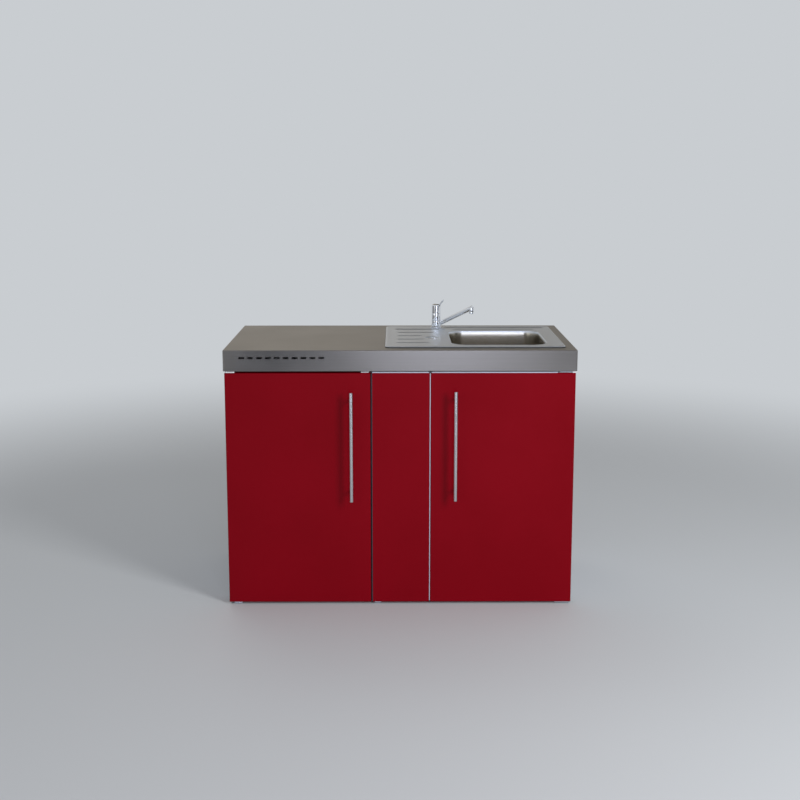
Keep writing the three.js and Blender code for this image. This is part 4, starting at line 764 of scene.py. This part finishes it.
# The bars are paler than the worktop and their streaks finer, drawn 0.8 mm wide
bar_steel = brushed("brushed_stainless_bar", ("c8c8ca", "d2d2d4"), (0.24, 0.34), "z", 0.8, 0.08)
for door in ("fridge", "sink"):
    body = door + "_door"
    low, high = span(door + "_handle_bar")
    middle, radius = ((low + high) / 2)[:2], (high[0] - low[0]) / 2
    bar = turned(eased([(0, low[2]), (radius, low[2]), (radius, high[2]), (0, high[2])], 1.0), middle)
    piece(body + "_bar", [bar], bar_steel, body, [door + "_handle_bar"])
    for place in ("top", "bottom"):
        name = door + "_handle_post_" + place
        low, high = span(name)
        middle, radius = ((low + high) / 2)[[0, 2]], (high[0] - low[0]) / 2
        post = turned(eased([(0, low[1] - 1), (radius - 0.6, low[1] - 1), (radius - 0.4, high[1] - 3),
                             (radius, high[1] - 2), (radius, high[1]), (0, high[1])], 0.5),
                      middle, "y", 48)
        piece(name + "_turned", [post], bar_steel, body, [name])

# ---------------------------------------- hinges
# Pressed and zinc-plated hinge plates hold the door pins. The fridge's top plate is screwed on the
# casing, the sink door's on the front rail, and the lower ones under the fridge and the cabinet.
# White plastic caps cover the ends of the upper ones.

for name in ("fridge_hinge_top", "fridge_hinge_bottom", "sink_hinge_top", "sink_hinge_bottom"):
    recast(name, zinc, "cabinet", 0.5)
hinge_caps = [plate("z", (-593.5, -274.5, 821.4), (-562, -262, 826.2), 3, 1.4),
              plate("z", (584, -274.5, 821.6), (597, -262, 826.8), 3, 1.2)]
piece("hinge_caps", hinge_caps, bumper_tpe, "cabinet")
# Two pale glides show under the fronts, just over the floor
floor_pads = [plate("z", (-581, -272.5, 3.6), (-552, -262, 7.4), 3, 1.2),
              plate("z", (-90, -272.5, 4.4), (-67, -262, 7.4), 3, 1.2)]
piece("floor_pads", floor_pads, lip_pvc, "cabinet")
low, high = span("fridge_hinge_top")
screws("fridge_hinge_screws", [(-581.5, high[1] - gap, high[2]) for gap in (12, 34, 56)], "z",
       "cabinet", 4.0, 1.9)

# ---------------------------------------- fridge
# The larder fridge has a white painted steel casing, a vacuum-formed polystyrene liner, tempered
# glass shelves and clear moulded drawers and racks. The door closes on a magnetic gasket.

# Appliance paint is smoother and glossier than powder coat, and formed polystyrene glossier still
casing_paint = powder("white_appliance_paint", ("e8eaeb", "e2e5e7"), 0.34, 1.0, 0.05)
recast("fridge_casing", casing_paint, "cabinet", 1.0)
liner_ps = moulded("vacuum_formed_white_polystyrene", "eceef0", 0.28, 2.0, 0.04)
recast("fridge_liner", liner_ps, "cabinet", 1.2)


def clear(name, colour, roughness, scale, bump, **sockets):
    """Glass or clear plastic: a slow noise in a light bump bends what is seen through it."""
    made, tree, shader, where = finish(name, colour, roughness, **sockets)
    waves = node(tree, "TexNoise", {"Vector": where, "Scale": scale, "Detail": 2.0})
    relief = node(tree, "Bump", {"Height": waves.outputs[0], "Strength": bump, "Distance": 0.001})
    tree.links.new(relief.outputs[0], shader.inputs["Normal"])
    return made


# Tempering leaves waves of about 80 mm in glass, and the flow of the melt 30 mm ones in plastic
shelf_glass = clear("tempered_shelf_glass", "e6f2ee", 0.02, 12.0, 0.05, Transmission_Weight=1.0, IOR=1.52)
clear_ps = clear("clear_moulded_polystyrene", "e2ecf2", 0.08, 30.0, 0.08,
                 Transmission_Weight=0.9, IOR=1.57)

for name in ("fridge_shelf_lower", "fridge_shelf_upper"):
    low, high = span(name)
    piece(name + "_pane", [plate("z", low, high, 3.0, 0.8)], shelf_glass, "cabinet", [name])
    trim = plate("x", (low[0], low[1] - 2.5, low[2]), (high[0], low[1] + 12, low[2] + 4.7), 2.2, 0.8)
    piece(name + "_trim", [trim], liner_ps, "cabinet")


def tub(low, high, corner, rim, wall=2.5):
    """A moulded tub with an open top: outside walls from the middle of the floor up to a rounded
    rim, and back down inside, drawn in by the wall."""
    foot, top = low[2], high[2]
    steps = [(corner * 0.5, foot), (corner * 0.2, foot + corner * 0.12),
             (corner * 0.04, foot + corner * 0.4), (0, foot + corner), (0, top - rim), (0, top - 0.5),
             (0.5, top), (wall - 0.5, top), (wall, top - 0.5), (wall, foot + corner),
             (wall + corner * 0.04, foot + wall + corner * 0.3), (wall + corner * 0.5, foot + wall)]
    return capped(layers("z", low, high, [(inset, level, max(corner - inset, 1))
                                          for inset, level in steps], 6))


piece("crisper_tub", [tub(*span("crisper_drawer"), 14, 6)], clear_ps, "crisper",
      ["crisper_drawer"])
for name in ("door_rack_bottom", "door_rack_top"):
    low, high = span(name)
    piece(name + "_moulded", [tub(low, high, 8, 5)], clear_ps, "fridge_door", [name])
    band = plate("z", (low[0], high[1] - 2.4, high[2] - 14), (high[0], high[1], high[2] - 0.2), 1.1, 0.6)
    piece(name + "_band", [band], liner_ps, "fridge_door")

# The door's inner sheet is vacuum-formed, with a rounded dike that stands inside the gasket
low, high = span("fridge_door_liner")
flat, crest, dike = low[1] + 3, high[1], 47
dike_rows = [(0, low[1] + 0.2), (0, flat), (20, flat), (dike - 4, flat), (dike - 0.8, flat + 2),
             (dike, flat + 6), (dike, crest - 4), (dike + 1.2, crest - 1.2), (dike + 4, crest),
             (dike + 6.8, crest - 1.2), (dike + 8, crest - 4), (dike + 9, flat + 8),
             (dike + 12, flat + 2), (dike + 18, flat)]
lining = layers("y", low, high, [(inset, level, max(1, inset / 3)) for inset, level in dike_rows], 8)
piece("fridge_door_lining", [capped(lining)], liner_ps, "fridge_door",
      ["fridge_door_liner"])

# The gasket is extruded PVC with a bellows, welded at the corners
gasket_pvc = moulded("extruded_grey_pvc", "c2c4c6", 0.6, 1.0, 0.06)
low, high = span("fridge_door_gasket")
front, back = low[1], high[1]
bellows = eased([(3, front), (11, front), (11, front + 1.8), (9, front + 2.4), (11.5, front + 3.4),
                 (14, front + 4.5), (14, back), (0, back), (0, front + 4.5), (2.5, front + 3.4),
                 (5, front + 2.4), (3, front + 1.8), (3, front)], 0.8, 3)
piece("gasket_bellows", [layers("y", low, high, [(inset, level, 5) for inset, level in bellows], 4)],
      gasket_pvc, "fridge_door", ["fridge_door_gasket"])

# The thermostat's housing has a round knob with a raised grip across it
piece("thermostat_case", [plate("y", *span("thermostat_housing"), 5, 2.5)], white_abs, "cabinet",
      ["thermostat_housing"])
low, high = span("thermostat_knob")
(x, _, z), back = (low + high) / 2, high[1]
dial = turned(eased([(0, back), (16, back), (14.5, back - 9), (0, back - 9)], 1.2), (x, z), "y", 72)
grip = plate("y", (x - 2.5, low[1], z - 14), (x + 2.5, back - 5, z + 14), 2.2, 1.0)
piece("thermostat_dial", [dial, grip], grey_pp, "thermostat", ["thermostat_knob"])

# ---------------------------------------- cooling unit
# The compressor is a welded steel pot in black enamel. The condenser is a steel tube that snakes
# over the back, with wires welded across it.

# Stoved enamel is glossy, with a wide and faint orange peel
black_enamel = powder("black_enamel", ("17181a", "1e1f21"), 0.32, 1.6, 0.08)
low, high = span("compressor")
middle, foot, top = ((low + high) / 2)[:2], low[2], high[2]
pot = turned(eased([(0, foot + 4), (49, foot + 4), (50, foot + 10), (50, foot + 62), (52, foot + 63),
                    (52, foot + 67), (50, foot + 68), (49, foot + 88), (42, foot + 108), (24, top - 1),
                    (0, top)], 7, 5), middle)
sole = plate("z", low, (high[0], high[1], foot + 4), 8, 0.8)
mount = eased([(0, foot + 3), (8, foot + 3), (8, foot + 10), (5, foot + 12), (0, foot + 12)], 1.5)
mounts = [turned(mount, middle + [x, y]) for x in (-62, 62) for y in (-40, 40)]
piece("compressor_pot", [pot, sole, *mounts], black_enamel, "cabinet", ["compressor"])

low, high = span("condenser_coil")
coil_y, tube_radius, runs = (low[1] + high[1]) / 2, 3.0, 7
wire_radius, wire_pitch, wire_reach = 0.8, 12.0, 4
run_left, run_right = low[0] + 43, high[0] - 43
half = (high[2] - low[2] - 2 * tube_radius) / (runs - 1) / 2
coil_path = []
for run in range(runs):
    level = low[2] + tube_radius + run * 2 * half
    start, end, way = (run_left, run_right, 1) if run % 2 == 0 else (run_right, run_left, -1)
    coil_path += [(start + (end - start) * t, coil_y, level) for t in (0, 0.5, 1)]
    if run < runs - 1:
        coil_path += [(end + way * half * math.cos(a), coil_y, level + half + half * math.sin(a))
                      for a in np.radians(np.linspace(-75, 75, 11))]
coil_grid = capped(tube(coil_path, tube_radius - 0.3, (0, 1, 0), 14))
foot, top = low[2] - wire_reach, high[2] + wire_reach
wires = [turned([(0, foot), (wire_radius, foot), (wire_radius, top), (0, top)],
                (x, coil_y + side * (tube_radius + 0.2)), points=6)
         for x in np.arange(run_left + 4, run_right, wire_pitch) for side in (-1, 1)]
piece("condenser_grid", [coil_grid, *wires], black_enamel, "cabinet", ["condenser_coil"])

# ---------------------------------------- studio
# A pale floor and a pale surround. A large soft key lamp from the right lays the handles' shadows
# to their left, and softer lamps stand in front, on the left and high behind. Cards that only
# reflections see give the steel and the chrome something to mirror.

backdrop_colour = srgb("c9cdd1")


def unlit(tree):
    """1 for the rays that see the backdrop: those of the camera, of gloss and of glass."""
    path = node(tree, "LightPath")
    shown = node(tree, "Math", {0: path.outputs["Is Camera Ray"], 1: path.outputs["Is Glossy Ray"]},
                 operation="MAXIMUM")
    return node(tree, "Math", {0: shown.outputs[0], 1: path.outputs["Is Transmission Ray"]},
                operation="MAXIMUM").outputs[0]


# The floor runs into the backdrop between 1.8 and 4.5 m from the unit
floor_vinyl, tree, shader, where = finish("pale_studio_floor", "c9cccf", 0.7)
away = node(tree, "VectorMath", {0: where}, operation="LENGTH")
share = node(tree, "MapRange", {"Value": away.outputs["Value"], "From Min": 1.8, "From Max": 4.5},
             interpolation_type="SMOOTHSTEP")
share = node(tree, "Math", {0: share.outputs[0], 1: unlit(tree)}, operation="MULTIPLY")
glow = node(tree, "Emission", {"Color": backdrop_colour, "Strength": 1.0})
blend = node(tree, "MixShader", {0: share.outputs[0], 1: shader.outputs[0], 2: glow.outputs[0]})
tree.links.new(blend.outputs[0], tree.nodes["Material Output"].inputs["Surface"])


def board(name, start, along, up, material):
    """A flat rectangle in metres, from its first corner and its two edges."""
    corners = np.array([start, np.add(start, along), np.add(start, along) + up, np.add(start, up)])
    data = bpy.data.meshes.new(name)
    data.from_pydata(corners.tolist(), [], [(0, 1, 2, 3)])
    data.materials.append(material)
    made = bpy.data.objects.new(name, data)
    bpy.context.scene.collection.objects.link(made)
    return made


board("floor", (-14, -14, 0), (28, 0, 0), (0, 28, 0), floor_vinyl)


def lamp(name, place, target, width, height, power, colour="ffffff", mirrored=True):
    """A soft rectangular lamp at place that faces target, both in metres. One that isn't mirrored
    leaves no highlight on metal."""
    made = bpy.data.objects.new(name, bpy.data.lights.new(name, "AREA"))
    made.data.shape = "RECTANGLE"
    made.data.size, made.data.size_y, made.data.energy = width, height, power
    made.data.color = srgb(colour)[:3]
    made.visible_glossy = mirrored
    made.location = place
    made.rotation_euler = (Vector(target) - Vector(place)).to_track_quat("-Z", "Y").to_euler()
    bpy.context.scene.collection.objects.link(made)


lamp("key", (3.0, -3.4, 2.3), (0, 0, 0.6), 1.2, 2.4, 130, mirrored=False)
lamp("front", (0.72, -5.6, 1.5), (0.25, 0, 0.9), 1.35, 3.0, 48, "dfe6ff")
lamp("fill", (-2.6, -3.6, 1.2), (0, 0, 0.7), 1.8, 2.0, 8)
lamp("rear", (-2.0, 3.5, 5.5), (0, 0, 0.6), 2.6, 2.0, 25)

world = bpy.data.worlds.new("surround")
bpy.context.scene.world = world
world.use_nodes = True
tree = world.node_tree
sky = node(tree, "Background", {"Color": srgb("f4f5f6"), "Strength": 0.46})
backdrop = node(tree, "Background", {"Color": backdrop_colour, "Strength": 1.0})
blend = node(tree, "MixShader", {0: unlit(tree), 1: sky.outputs[0], 2: backdrop.outputs[0]})
tree.links.new(blend.outputs[0], tree.nodes["World Output"].inputs[0])

# A card that glows shows its own colour in the reflections, as the backdrop does
for name, start, along, up, colour, glow in (
        ("overhead_card", (-2.4, -0.1, 3.4), (4.8, 0, 0), (0, 4.7, 0), "4c4640", 1.0),
        ("left_card", (-2.0, -2.9, 0.02), (1.67, 0, 0), (0, -2.5, 1.98), "3c4858", 0.0),
        ("right_card", (1.9, -5.0, 0), (1.3, 0.8, 0), (0, 0, 2.2), "9a9ea8", 0.0),
        ("rear_left_card", (-3.0, 4.7, 1.3), (3.0, 0, 0), (0, 0, 2.0), "bdb6ab", 1.0),
        ("rear_right_card", (0, 4.7, 1.3), (3.0, 0, 0), (0, 0, 2.0), "a09a90", 1.0),
        ("left_side_card", (-3.7, 0.3, 0), (-0.2, 1.7, 0), (0, 0, 2.0), "8c9096", 1.0),
        ("right_side_card", (3.1, -2.9, 0), (0.6, 1.6, 0), (0, 0, 2.0), "232327", 0.0)):
    paper, *_ = finish(name + "_paper", "000000" if glow else colour, 0.9,
                       Emission_Color=srgb(colour), Emission_Strength=glow)
    card = board(name, start, along, up, paper)
    card.visible_camera = card.visible_diffuse = card.visible_shadow = False

bpy.context.scene.view_settings.view_transform = "Standard"
